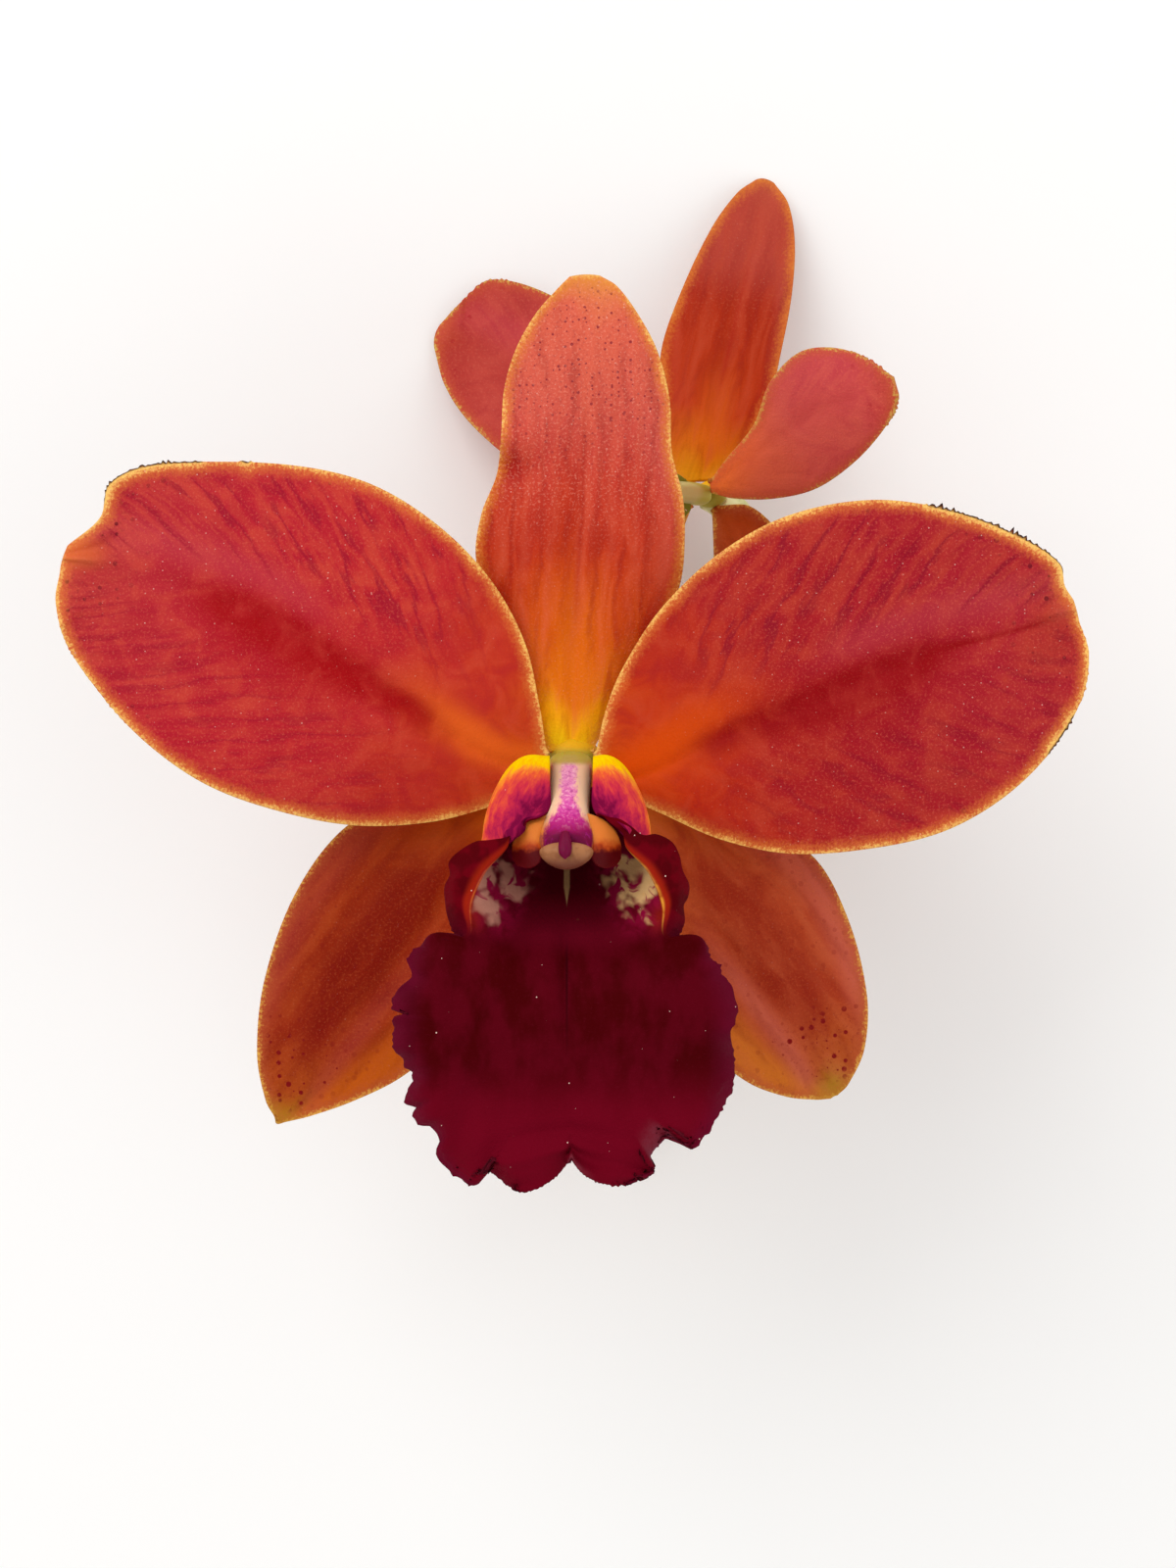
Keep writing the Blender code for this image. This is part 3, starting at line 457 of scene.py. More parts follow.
def make_blade(name, blade, steps, finish, seed):
    """A petal or sepal: a thin sheet with its own outline, midrib, hills, folds and toothed margins."""
    share, side = np.linspace(0, 1, steps[0] + 1), np.linspace(-1, 1, steps[1] + 1)
    # Closer columns towards the margins, where the teeth and the rim's colour are.
    side = np.sign(side) * (1 - (1 - np.abs(side)) ** 1.35)
    low, mid, high = (along(blade[key], share) for key in ("low", "mid", "high"))
    spread, around = np.meshgrid(share, side, indexing="ij")
    wide = around[..., None]
    flat = mid[:, None] + (high - low)[:, None] * (wide / 2) + ((high + low) / 2 - mid)[:, None] * wide * wide
    body = np.where(spread < 1 / 1.1, np.sin(math.pi * np.minimum(spread * 1.1, 1.0) ** 0.8), 0.0)
    body = np.sqrt(np.maximum(body, 0.0))
    height = evenly(blade["heights"], spread)
    height = height + body * (blade.get("twist", 0.0) * around - blade["droop"] * around ** 2)

    length = run(mid)[:, None] + 0 * around
    middle = flat[:, [steps[1] // 2]]
    across = np.linalg.norm(flat - middle, axis=-1) * np.sign(around)
    rim = distance_to_rim(flat)
    petal = "petal" in name
    size = 1.0 if name.startswith("front") else 0.6

    # Relief: a groove along the midrib, slow hills, a waved margin, raised veins and folds.
    fade = rise(spread, 0.0, 0.08) * rise(rim, 0.0, 2.0)
    groove = hump(across, 0, GROOVE_WIDTH) * rise(spread, 1.0, 0.55) * GROOVE_DEPTH
    trough = PETAL_TROUGH if petal else SEPAL_TROUGH
    groove = groove + hump(across, 0, TROUGH_WIDTH) * rise(spread, 0.95, 0.35) * trough
    hills = swell(length / 9 + 3, across / 7 + 9, seed) * HILL_HEIGHT * fade
    wave = swell(length / 5.5, np.sign(around) * 4.3 + 20, seed + 1)
    wave = wave * np.abs(around) ** 3 * WAVE_HEIGHT * body * size
    lean_low, lean_high = blade.get("lean", (2.0, 2.0))
    lean = np.where(around > 0, lean_high, lean_low)
    if petal:
        flow = np.stack((length - lean * np.abs(across) ** 0.75, across, 0 * across), -1)
    else:
        flow = np.stack((across, length, 0 * length), -1)
    ridges = swell(flow[..., 0] / 0.9, flow[..., 1] / 5.0, seed + 2) * VEIN_HEIGHT * fade
    height = height - groove * size + (hills + wave + ridges) * size
    for at, by, long, broad, lift in blade.get("folds", ()):
        height = height + lift * hump(spread, at, long) * hump(around, by, broad)

    # Teeth reach outwards from the margin's last column.
    tooth = np.zeros_like(rim)
    outward = flat[:, [0, -1]] - flat[:, [1, -2]]
    outward = outward / np.maximum(np.linalg.norm(outward, axis=-1, keepdims=True), 1e-6)
    for margin, start, end, reach in blade.get("teeth", ()):
        column, which, inner = (0, 0, 1) if margin == "low" else (-1, 1, -2)
        edge = flat[:, column]
        arc = run(edge)
        zone = rise(share, start, start + 0.02) * rise(share, end, end - 0.02)
        bite = tooth_profile(arc, seed + 5) * zone
        flat[:, column] += outward[:, which] * (bite * reach)[:, None]
        if reach > 0.3:
            tooth[:, column] += np.maximum(bite, 0.8 * zone)
            tooth[:, inner] += 0.45 * zone
            rim = rim - 0.25 * zone[:, None] * (around < 0 if margin == "low" else around > 0)

    grid = placed(from_eye(flat, height), False)
    thick = TEPAL_EDGE + (TEPAL_THICK - TEPAL_EDGE) * rise(rim, 0.0, 2.5)
    verts, faces = sheet(grid, thick, (0, 0, 1))
    place = np.concatenate((flat, 0 * rim[..., None]), -1)
    values = both_faces(tepal_zones(name, spread, around, across, rim)
                        | {"flow": flow, "place": place, "rim": rim, "tooth": tooth})
    values["reverse"] = np.repeat((0.0, 1.0), rim.size)
    return build(name + "_blade", verts, faces, values, finish, name)


def tepal_zones(name, share, side, across, rim):
    """Where a blade's colours lie: numbers between 0 and 1 for its finish."""
    high = side > 0
    front = name.startswith("front")
    zones = {"along": share, "tip": rise(share, 0.92, 1.0), "grainy": rise(share, 0.1, 0.45)}
    if "petal" in name:
        right = 1.0 if "right" in name else 0.0
        wedge = hump(across, 0.8 + 3.5 * right * share, 1.3 + (5.0 + 5.0 * right) * share)
        zones["warm"] = rise(share, 0.46 + 0.06 * right, 0.1) * wedge
        # On a petal, tip is a painted highlight where the fold near its tip catches the light.
        zones["tip"] = rise(share, 0.88, 0.99) * hump(across, 0.9, 1.8) * (1 - 0.6 * right)
        zones["band"] = (hump(across, -0.2, 1.7) * between(share, 0.1, 0.32, 0.6, 0.84)
                         + 0.5 * hump(across, -1.8, 4.0) * between(share, 0.3, 0.5, 0.6, 0.85)
                         + 0.8 * right * hump(across, 0, 0.35) * between(share, 0.5, 0.7, 0.9, 0.98))
        # pale: a paler tint on the high side, and a painted highlight by the fold near the tip.
        zones["pale"] = (hump(across, 3.4, 2.0) * rise(share, 0.4, 0.6) * 0.8
                         + 0.8 * rise(share, 0.93, 0.99) * hump(across, 0.5, 1.0))
        zones["grainy"] = zones["grainy"] * (1 - 0.7 * np.clip(zones["band"], 0, 1))
        strokes = rise(share, 0.14, 0.4) * rise(np.abs(side), 0.15, 0.45) * rise(rim, 0.6, 1.8)
        zones["veined"] = strokes * np.where(high, 1.0, 0.6)
        zones["dotted"] = rise(share, 0.8, 0.95) * 0.8 + rise(rim, 3.0, 0.8) * 0.5 * rise(share, 0.3, 0.6)
    elif "dorsal" in name:
        zones["warm"] = rise(share, 0.5, 0.12) * rise(share, 0.06, 0.16) * rise(np.abs(side), 0.6, 0.05)
        zones["grainy"] = rise(share, 0.4, 0.6) + 0.25 * (share > 0.1)
        # fold is painted shade in the dent of the front sepal's pinch.
        fold = hump(share, 0.585, 0.03) * hump(side, 1, 0.42) if front else 0 * share
        middle = hump(across, 0, 0.25) * between(share, 0.2, 0.4, 0.6, 0.8)
        flank = rise(np.abs(side), 0.3, 0.9) * between(share, 0.04, 0.16, 0.3, 0.6)
        zones["band"] = fold + 0.6 * middle + 0.6 * flank
        zones["pale"] = rise(share, 0.5, 0.8) + 0.6 * rise(side, -0.5, -0.95) * rise(share, 0.2, 0.45)
        zones["veined"] = between(share, 0.12, 0.3, 0.75, 0.95)
        zones["dotted"] = rise(share, 0.45, 0.8)
    else:
        outer = -side if "right" in name else side
        zones["warm"] = np.clip(rise(outer, -0.1, -0.8) + rise(share, 0.3, 0.0), 0, 1)
        zones["band"] = hump(outer, 0.25, 0.34) * between(share, 0.12, 0.4, 0.7, 0.95)
        along_rib = hump(across, 1.4 if "right" in name else -1.4, 1.1)
        zones["pale"] = (rise(outer, 0.62, 0.96) * rise(share, 0.95, 0.7)
                         + 0.8 * along_rib * between(share, 0.3, 0.7, 0.9, 1.0))
        zones["veined"] = rise(share, 0.1, 0.3) * 0.6
        zones["dotted"] = (between(share, 0.76, 0.84, 0.94, 0.975) * rise(np.abs(outer - 0.25), 0.7, 0.5)
                           + 0.25 * rise(share, 0.3, 0.5))
    return {key: np.clip(value, 0, 1) for key, value in zones.items()}


# Lip

def margin_moves(flat, share, margin, sign):
    """Rows of one half's free margin, and how far each must move to lie on the true one."""
    column = -1 if sign > 0 else 0
    rows = np.flatnonzero(share >= LIP_FREE)
    half = flat.shape[1] // 2
    tip = flat[-1, half:] if sign > 0 else flat[-1, half::-1]
    plain = np.concatenate((flat[rows, column], tip[::-1][1:]))
    arc = run(plain)
    true = evenly(margin, np.linspace(0, 1, 1400))
    true_arc = run(true)
    anchors = np.arange(0, true_arc[-1], PINS_APART)
    at = np.array([np.interp(anchors, true_arc, true[:, k]) for k in (0, 1)]).T
    near = arc[np.argmin(((at[:, None] - plain[None]) ** 2).sum(-1), axis=1)]
    near[0] = 0.0
    near = np.maximum.accumulate(near)
    # Round the mid-lobe the nearest place jumps across bays, so it is evened out there.
    waist = arc[np.searchsorted(share[rows], LIP_WAIST)]
    first = np.flatnonzero(near >= waist)[0]
    evened = waist + (arc[-1] - waist) * (anchors - anchors[first]) / (true_arc[-1] - anchors[first])
    blend = rise(anchors, anchors[first], anchors[first] + 6.0) * 0.75
    near = np.where(np.arange(len(near)) >= first, near * (1 - blend) + evened * blend, near)
    near = np.maximum.accumulate(near) + np.arange(len(near)) * 1e-4
    near, anchors = np.append(near, arc[-1] + 1e-2), np.append(anchors, true_arc[-1])
    wanted = np.interp(arc, near, anchors)
    target = np.array([np.interp(wanted, true_arc, true[:, k]) for k in (0, 1)]).T
    outward = np.gradient(target, axis=0)
    outward = np.stack((outward[:, 1], -outward[:, 0]), -1) * -sign
    outward /= np.maximum(np.linalg.norm(outward, axis=1, keepdims=True), 1e-6)
    toothed = rise(arc, 14.0, 17.0) * tooth_profile(wanted, 40 + sign) * LIP_TEETH
    moves = target - plain + outward * toothed[:, None]
    moves[0] = 0
    return rows, moves[:len(rows)]


def lobe_outline(centre, points):
    """Directions and distances of an outline's points from a centre, in rising order of direction."""
    away = np.asarray(points) - centre
    angle = np.arctan2(away[:, 0], -away[:, 1])
    return np.maximum.accumulate(angle) + np.arange(len(angle)) * 1e-7, np.linalg.norm(away, axis=1)


def true_lobe(flat, share):
    """Where the mid-lobe's points lie once its plain outline is stretched to the toothed true one,
    and how far inwards each has moved."""
    rows = np.flatnonzero(share >= LIP_WAIST - 0.03)
    plain = np.concatenate((flat[rows, 0], flat[-1, 1:-1], flat[rows[::-1], -1]))
    true = []
    for sign, margin in ((-1, LIP_MARGIN_LEFT), (1, LIP_MARGIN_RIGHT)):
        line = along(margin, np.linspace(LOBE_BEGINS, 1, 900))
        arc = run(line)
        away = line - LOBE_CENTRE
        bite = tooth_profile(arc, 40 + sign)[:, None] * LIP_TEETH
        line = line + away / np.linalg.norm(away, axis=1, keepdims=True) * bite
        true.append(line if sign < 0 else line[::-1])
    plain_angle, plain_far = lobe_outline(LOBE_CENTRE, plain)
    true_angle, true_far = lobe_outline(LOBE_CENTRE, np.concatenate(true))
    away = flat - LOBE_CENTRE
    angle = np.arctan2(away[..., 0], -away[..., 1])
    far = np.linalg.norm(away, axis=-1)
    edge = np.interp(angle, plain_angle, plain_far)
    ratio = np.interp(angle, true_angle, true_far) / edge
    pull = np.clip((far / edge - LOBE_CORE) / (1 - LOBE_CORE), 0, 1) ** 1.5
    moved = LOBE_CENTRE + away * (1 + (ratio - 1) * pull)[..., None]
    return moved, (1 - ratio) * edge * pull


def make_lip(name, rear, steps, finish, seed):
    """The lip: one thin sheet rolled round the column, with flared sides and a frilled mid-lobe."""
    share, side = np.linspace(0, 1, steps[0] + 1), np.linspace(-1, 1, steps[1] + 1)
    rows = evenly(LIP_SECTIONS, share)
    half = np.stack([evenly(row, np.abs(side)) for row in rows])
    flat = half[..., :2].copy()
    # The younger lip is narrower where it leaves the bloom.
    narrow = 0.12 + 0.88 * rise(share, 0.16, 0.5)[:, None] if rear else 1.0
    flat[..., 0] = LIP_MIDLINE_X + flat[..., 0] * np.sign(side) * narrow
    height = half[..., 2]
    spread, around = np.meshgrid(share, side, indexing="ij")
    reach = np.abs(around)
    # The left side lobe lies closer against the column.
    closer = rise(spread, LIP_FREE + 0.05, LIP_FREE - 0.03)
    flat[..., 0] += 0.85 * np.where(around < 0, reach, 0) ** 6 * closer

    # The side lobes' margins move to the true ones, and what is near follows.
    near_margin = np.clip((reach - 0.74) / 0.26, 0, 1) ** 1.6
    middle = steps[1] // 2
    plain = flat.copy()
    for margin, sign in ((LIP_MARGIN_LEFT, -1), (LIP_MARGIN_RIGHT, 1)):
        at, moves = margin_moves(plain, share, margin, sign)
        cols = np.arange(middle, steps[1] + 1) if sign > 0 else np.arange(middle, -1, -1)
        block = np.ix_(at, cols)
        flat[block] += near_margin[block][..., None] * moves[:, None]
    stretched, inward = true_lobe(plain, share)
    past_waist = rise(spread, LIP_WAIST - 0.02, LIP_WAIST + 0.05)[..., None]
    flat = flat * (1 - past_waist) + stretched * past_waist

    # Frills: the margin waves up and down, most where a bay is folded in.
    lobe = rise(spread, LIP_WAIST, LIP_WAIST + 0.12)
    free = rise(spread, LIP_FREE, LIP_FREE + 0.06)
    edge = np.maximum(near_margin, np.clip((spread - 0.85) / 0.15, 0, 1) ** 1.6 * lobe)
    path = spread * 46 + np.where(around > 0, 17.0, 0.0)
    ripple = swell(path / 2.1, reach * 1.5 + 7, seed) + 0.5 * swell(path / 0.95, reach * 2 + 3, seed + 1)
    height = height + ripple * edge * (SIDE_FRILL + LOBE_FRILL * lobe) * free
    folded = np.clip(inward, -1.0, 3.0) * lobe
    height = height + folded * FOLD_LIFT
    angle = np.arctan2(flat[..., 0] - LIP_MIDLINE_X, -(flat[..., 1] + 14))
    radial = swell(angle * 5.0 + 30, reach * 1.2, seed + 2)
    radial = radial + 0.4 * swell(angle * 11 + 30, reach * 2, seed + 3)
    height = height + radial * RADIAL_HEIGHT * lobe * rise(reach, 0.1, 0.6)
    # A crease down the middle of the mid-lobe, between two soft keels.
    from_middle = flat[..., 0] - LIP_MIDLINE_X
    crease = hump(from_middle, 0, CREASE_WIDTH) * between(spread, 0.42, 0.5, 0.66, 0.86)
    keels = hump(np.abs(from_middle), KEEL_OFFSET, KEEL_WIDTH) * between(spread, 0.4, 0.5, 0.62, 0.8)
    height = height - CREASE_DEPTH * crease + KEEL_HEIGHT * keels

    rim = np.minimum((1 - reach) * 6 + 0 * height, (1 - spread) * 40)
    thick = LIP_EDGE + (LIP_THICK - LIP_EDGE) * rise(rim, 0.0, 1.5)
    grid = placed(from_eye(flat, height), rear)
    size = REAR_SIZE if rear else 1.0
    facing = np.array(REAR_TURN.to_matrix()) @ np.array((0, 0.3, 1)) if rear else (0, 0.3, 1)
    verts, faces = sheet(grid, thick * size, facing)
    place = np.stack((from_middle, flat[..., 1], height), -1)
    crest = np.maximum(folded * 0.6, ripple * edge * lobe)
    slant = np.stack((reach * 16 + spread * 12, spread * 46 - reach * 8, np.sign(around) * 9), -1)
    values = both_faces(lip_zones(spread, reach, place, crest) | {"place": place, "streak": slant})
    values["outside"] = np.repeat((0.0, 1.0), rim.size)
    return build(name + "_sheet", verts, faces, values, finish, name)


def lip_zones(share, reach, place, crest):
    """Where the lip's colours lie: numbers between 0 and 1 for its finish."""
    x, y = place[..., 0], place[..., 1]
    fold = 0.667 + 0.1 * rise(share, LIP_FOLD, LIP_FREE)
    zones = {"along": share, "reach": reach}
    zones["lobe"] = rise(share, LIP_WAIST - 0.09, LIP_WAIST + 0.02)
    free = rise(share, LIP_FREE - 0.01, LIP_FREE + 0.03)
    past = rise(share, LIP_WAIST + 0.02, LIP_WAIST - 0.08)
    zones["flare"] = rise(reach, fold + 0.01, fold + 0.05) * free * past
    lit = rise(x, -3.0, 4.5)
    zones["glow"] = hump(reach, fold - 0.02, 0.018 + 0.014 * lit) * rise(share, LIP_FREE, LIP_FOLD) * past
    # A red-orange band round the fold and down the throat's lower sides, painted as light shining through.
    painted_red_glow = rise(reach, fold + 0.13, fold + 0.01) * rise(reach, fold - 0.12, fold - 0.02)
    low = rise(y, -11.5, -15.0) * between(reach, 0.3, 0.55, 0.66, 0.8)
    zones["painted_red_glow"] = np.clip(painted_red_glow + 0.8 * low, 0, 1) * free * past
    inner = 1.2 + 0.5 * np.clip(-y - 10.5, 0, 8)
    zones["cream"] = (rise(np.abs(x), inner, inner + 2.4) * rise(y, -18.4, -11.5)
                      * rise(reach, fold + 0.03, fold - 0.02) * rise(y, -7.5, -9.5))
    zones["lit"] = lit
    outer = np.clip((reach - 0.5) * 2, 0, 1) * rise(share, 0.06, 0.2)
    zones["yellow"] = outer * 0.8 + 2.6 * np.clip(share - 0.1, 0, 0.2) * rise(reach, 0.42, 0.6)
    # Where highlights are painted: on the crests of the frills and folds.
    zones["sheen"] = rise(crest, 0.45, 1.4)
    return {key: np.clip(value, 0, 1) for key, value in zones.items()}


# Column, cap, stalks and bracts

def loft(rings):
    """Points and faces of a closed loft through rings of equally many points."""
    rings = np.asarray(rings, float)
    rows, cols = rings.shape[:2]
    index = np.arange(rows * cols).reshape(rows, cols)
    a, b = index[:-1], index[1:]
    faces = np.stack((a, np.roll(a, -1, 1), np.roll(b, -1, 1), b), -1).reshape(-1, 4).tolist()
    first, last = rows * cols, rows * cols + 1
    for i in range(cols):
        j = (i + 1) % cols
        faces += [[first, index[0, j], index[0, i]], [last, index[-1, i], index[-1, j]]]
    return np.concatenate((rings.reshape(-1, 3), rings[[0, -1]].mean(1))), faces


def dome(centre, size, rows=30, cols=48, shape=None):
    """A closed egg round a centre, its poles to the left and right."""
    polar = np.linspace(0.02, math.pi - 0.02, rows)[:, None]
    around = np.linspace(0, 2 * math.pi, cols, endpoint=False)[None]
    unit = np.stack((np.cos(polar) + 0 * around, np.sin(polar) * np.cos(around),
                     np.sin(polar) * np.sin(around)), -1)
    return loft(centre + (shape(unit) if shape else unit) * size)


def outward_faces(points, faces):
    """Turns the faces round if the closed shape is inside out."""
    volume = 0.0
    for face in faces:
        a = points[face[0]]
        for b, c in zip(face[1:-1], face[2:]):
            volume += np.dot(a, np.cross(points[b], points[c]))
    return faces if volume > 0 else [face[::-1] for face in faces]


def join(shapes):
    """Several closed shapes as one mesh's points and faces, each turned outwards."""
    points, faces, start = [], [], 0
    for shape_points, shape_faces in shapes:
        shape_faces = outward_faces(shape_points, shape_faces)
        points.append(shape_points)
        faces += [[i + start for i in face] for face in shape_faces]
        start += len(shape_points)
    return np.concatenate(points), faces


def tube(route, sides, steps, shape):
    """A round tube along points with radii. shape(share, angle) scales its radius."""
    shares = np.linspace(0, 1, steps + 1)
    centres = along([point for point, radius in route], shares)
    radii = evenly([radius for point, radius in route], shares)
    ahead = np.gradient(centres, axis=0)
    ahead /= np.linalg.norm(ahead, axis=1, keepdims=True)
    angles = np.linspace(0, 2 * math.pi, sides, endpoint=False)
    over = np.cross(ahead[0], (0.31, 0.2, 0.93))
    rings = []
    for share, centre, radius, forward in zip(shares, centres, radii, ahead):
        over = over - forward * over.dot(forward)
        over /= np.linalg.norm(over)
        other = np.cross(forward, over)
        scale = radius * shape(share, angles)
        away = np.cos(angles)[:, None] * over + np.sin(angles)[:, None] * other
        rings.append(centre + away * scale[:, None])
    return np.array(rings)


def make_column(name, rear, finish):
    """The column with its wings and mid-tooth, and the fleshy hub that all the tepals grow from."""
    angles = np.linspace(0, 2 * math.pi, COLUMN_SIDES, endpoint=False)
    up = np.array((0, math.cos(COLUMN_LEAN), math.sin(COLUMN_LEAN)))
    rings = []
    for x, y, z, half_width, half_depth, droop in evenly(COLUMN_RINGS, np.linspace(0, 1, COLUMN_STEPS + 1)):
        flatter = np.sign(np.sin(angles)) * np.abs(np.sin(angles)) ** 0.6
        lift = half_depth * flatter - droop * np.cos(angles) ** 2
        ring = np.stack((x + half_width * np.cos(angles), y + 0 * angles, z + 0 * angles), -1)
        rings.append(ring + lift[:, None] * up)
    shapes = [loft(rings)]
    for sign in (-1, 1):
        shares, edge = (np.linspace(0, 1, steps + 1) for steps in WING_STEPS)
        upper, lower = along(WING_UPPER, shares), along(WING_LOWER, shares)
        grid = upper[:, None] * (1 - edge[None, :, None]) + lower[:, None] * edge[None, :, None]
        along_wing = 0.5 * np.sin(math.pi * np.minimum(shares + 0.12, 1))
        grid[..., 2] += np.sin(math.pi * edge)[None] * along_wing[:, None]
        grid[..., 0] = COLUMN_X + sign * grid[..., 0]
        thick = WING_THICK * (0.3 + 0.7 * np.sin(math.pi * edge)[None] * rise(shares, 1.0, 0.75)[:, None])
        shapes.append(sheet(grid, thick, (0, 0.2, 1)))

    def round_tip(share, angle):
        return np.full(len(angle), math.sqrt(1.02 - rise(share, 0.75, 1) ** 2))

    shapes += [loft(tube(TOOTH_ROUTE, 24, 30, round_tip)), dome(HUB_CENTRE, HUB_SIZE)]
    points, faces = join(shapes)
    part = np.repeat((0, 1, 1, 2, 3), [len(shape[0]) for shape in shapes])
    values = {"place": points, "wing": part == 1, "tooth": part == 2, "hub": part == 3}
    return build(name + "_body", placed(points, rear), faces, values, finish, name)


def make_cap(name, rear, finish):
    """The cap over the pollen: a cream half-moon with a shallow groove down its middle."""
    def half_moon(unit):
        x, y, z = unit[..., 0], unit[..., 1], unit[..., 2]
        y = np.where(y > 0, y * 0.55, y * (1.0 - 0.2 * x * x))
        dent = 0.14 * hump(x, 0, 0.14) * (z > 0) + 0.05 * hump(np.abs(x), 0.5, 0.1)
        return np.stack((x, y, z * (1 - dent)), -1)

    points, faces = join([dome(CAP_CENTRE, CAP_SIZE, rows=40, cols=64, shape=half_moon)])
    return build(name + "_dome", placed(points, rear), faces, {"place": points}, finish, name)


def make_stalk(name, route, finish):
    """An ovary with six soft ribs that fade along its pedicel, or the smooth cut stalk."""
    ribbed = name != "peduncle"

    def girth(share, angle):
        if ribbed:
            ribs = 0.10 * rise(share, 0.55, 0.1) * np.cos(6 * angle + share * 5)
            return 1 + ribs + 0.015 * np.sin(share * 60)
        ring = 0.12 * hump(share, 0.22, 0.02) + 0.05 * hump(share, 0.62, 0.012)
        return 1 + ring + 0.02 * np.cos(5 * angle + share * 3)

    points, faces = join([loft(tube(route, STALK_SIDES, STALK_STEPS, girth))])
    share = np.append(np.repeat(np.linspace(0, 1, STALK_STEPS + 1), STALK_SIDES), (0.0, 1.0))
    cut = (share >= 1.0) & (not ribbed)
    values = {"along": share, "place": points, "cut": cut.astype(float)}
    return build(name + "_tube", placed(points, False), faces, values, finish, name)


def make_bract(name, bract, finish, seed):
    """A dry scale that clasps the foot of a stalk and narrows to its tip."""
    stalk = STALKS[bract["stalk"]]
    route = [point for point, radius in stalk]
    radius = stalk[-1][1] + BRACT_GAP + BRACT_THICK
    reach = BRACT_LENGTH / run(route)[-1]
    share, side = np.linspace(0, 1, BRACT_STEPS[0] + 1), np.linspace(-1, 1, BRACT_STEPS[1] + 1)
    line = along(route, 0.99 - reach * share)
    ahead = line[-1] - line[0]
    ahead /= np.linalg.norm(ahead)
    face = np.asarray(bract["face"], float)
    face = face - ahead * face.dot(ahead)
    face /= np.linalg.norm(face)
    across = np.cross(face, ahead)
    spread, around = np.meshgrid(share, side, indexing="ij")
    angle = around * (1.5 * (1 - spread) ** 0.6 + 0.08)
    away = radius + 1.4 * spread ** 2 + 0.08 * swell(around * 9, spread * 1.5, seed)
    turn = face * np.cos(angle)[..., None] + across * np.sin(angle)[..., None]
    grid = placed(line[:, None] + turn * away[..., None], False)
    thick = BRACT_EDGE + (BRACT_THICK - BRACT_EDGE) * rise(1 - np.abs(around), 0.0, 0.4)
    verts, faces = sheet(grid, thick, face)
    values = both_faces({"along": spread, "flow": np.stack((around * 4, spread * 9, 0 * around), -1)})
    return build(name + "_scale", verts, faces, values, finish, name)


# Finishes

def linear(code):
    """A colour written as sRGB hex, as the linear values that a shader takes."""
    parts = [int(code[i:i + 2], 16) / 255 for i in (0, 2, 4)]
    return tuple(p / 12.92 if p <= 0.04045 else ((p + 0.055) / 1.055) ** 2.4 for p in parts) + (1.0,)


def ramp(*pairs):
    """Stops of a colour ramp, each a position and a hex colour."""
    return [(position, linear(code)) for position, code in pairs]


def add(tree, kind, inputs=(), out=0, stops=(), **settings):
    """Adds a node with its settings, and fills its inputs with values or other nodes' outputs."""
    node = tree.nodes.new("ShaderNode" + kind)
    for key, value in settings.items():
        setattr(node, key, value)
    for key, value in dict(inputs).items():
        if isinstance(value, bpy.types.NodeSocket):
            tree.links.new(value, node.inputs[key])
        else:
            node.inputs[key].default_value = value
    for number, (position, colour) in enumerate(stops):
        if number > 1:
            node.color_ramp.elements.new(position)
        node.color_ramp.elements[number].position = position
        node.color_ramp.elements[number].color = colour
    return node.outputs[out] if node.outputs else None


def paint(tree, under, *coats):
    """Lays coats over a colour, the lowest first. Each is (colour, cover, start, end, amount, masks):
    it hides up to amount of what is under it where cover has gone from start to end, within masks."""
    for over, cover, *rest in coats:
        start, end, amount, masks = (*rest, *(0.0, 1.0, 1.0, ())[len(rest):])
        share = add(tree, "MapRange", {"Value": cover, "From Min": start, "From Max": end, "To Max": amount},
                    interpolation_type="SMOOTHSTEP")
        for mask in masks:
            share = add(tree, "Math", {0: share, 1: mask}, operation="MULTIPLY", use_clamp=True)
        under, over = (linear(colour) if isinstance(colour, str) else colour for colour in (under, over))
        under = add(tree, "Mix", {0: share, 6: under, 7: over}, out=2, data_type="RGBA")
    return under


def clouds(tree, where, size, detail=2.0, rough=0.55, warp=0.0, stretch=(1, 1, 1), deep=False):
    """Uneven patches about size millimetres wide, longer where stretch is under 1."""
    laid = add(tree, "VectorMath", {0: where, 1: [s / size for s in stretch]}, operation="MULTIPLY")
    return add(tree, "TexNoise", {"Vector": laid, "Scale": 1.0, "Detail": detail, "Roughness": rough,
                                  "Distortion": warp}, noise_dimensions="3D" if deep else "2D")


def dots(tree, where, apart, radius, kept):
    """Round dots, apart millimetres from each other and up to radius in size. A share of them is kept."""
    laid = add(tree, "VectorMath", {0: where, "Scale": 1 / apart}, operation="SCALE")
    far = add(tree, "TexVoronoi", {"Vector": laid, "Scale": 1.0}, out="Distance", voronoi_dimensions="2D")
    chance = add(tree, "SeparateColor", {0: far.node.outputs["Color"]})
    size = add(tree, "MapRange", {"Value": chance, "From Max": kept, "To Min": radius / apart, "To Max": 0.0})
    inside = add(tree, "Math", {0: size, 1: far}, operation="SUBTRACT")
    return add(tree, "MapRange", {"Value": inside, "From Max": DOT_EDGE * radius / apart},
               interpolation_type="SMOOTHSTEP")


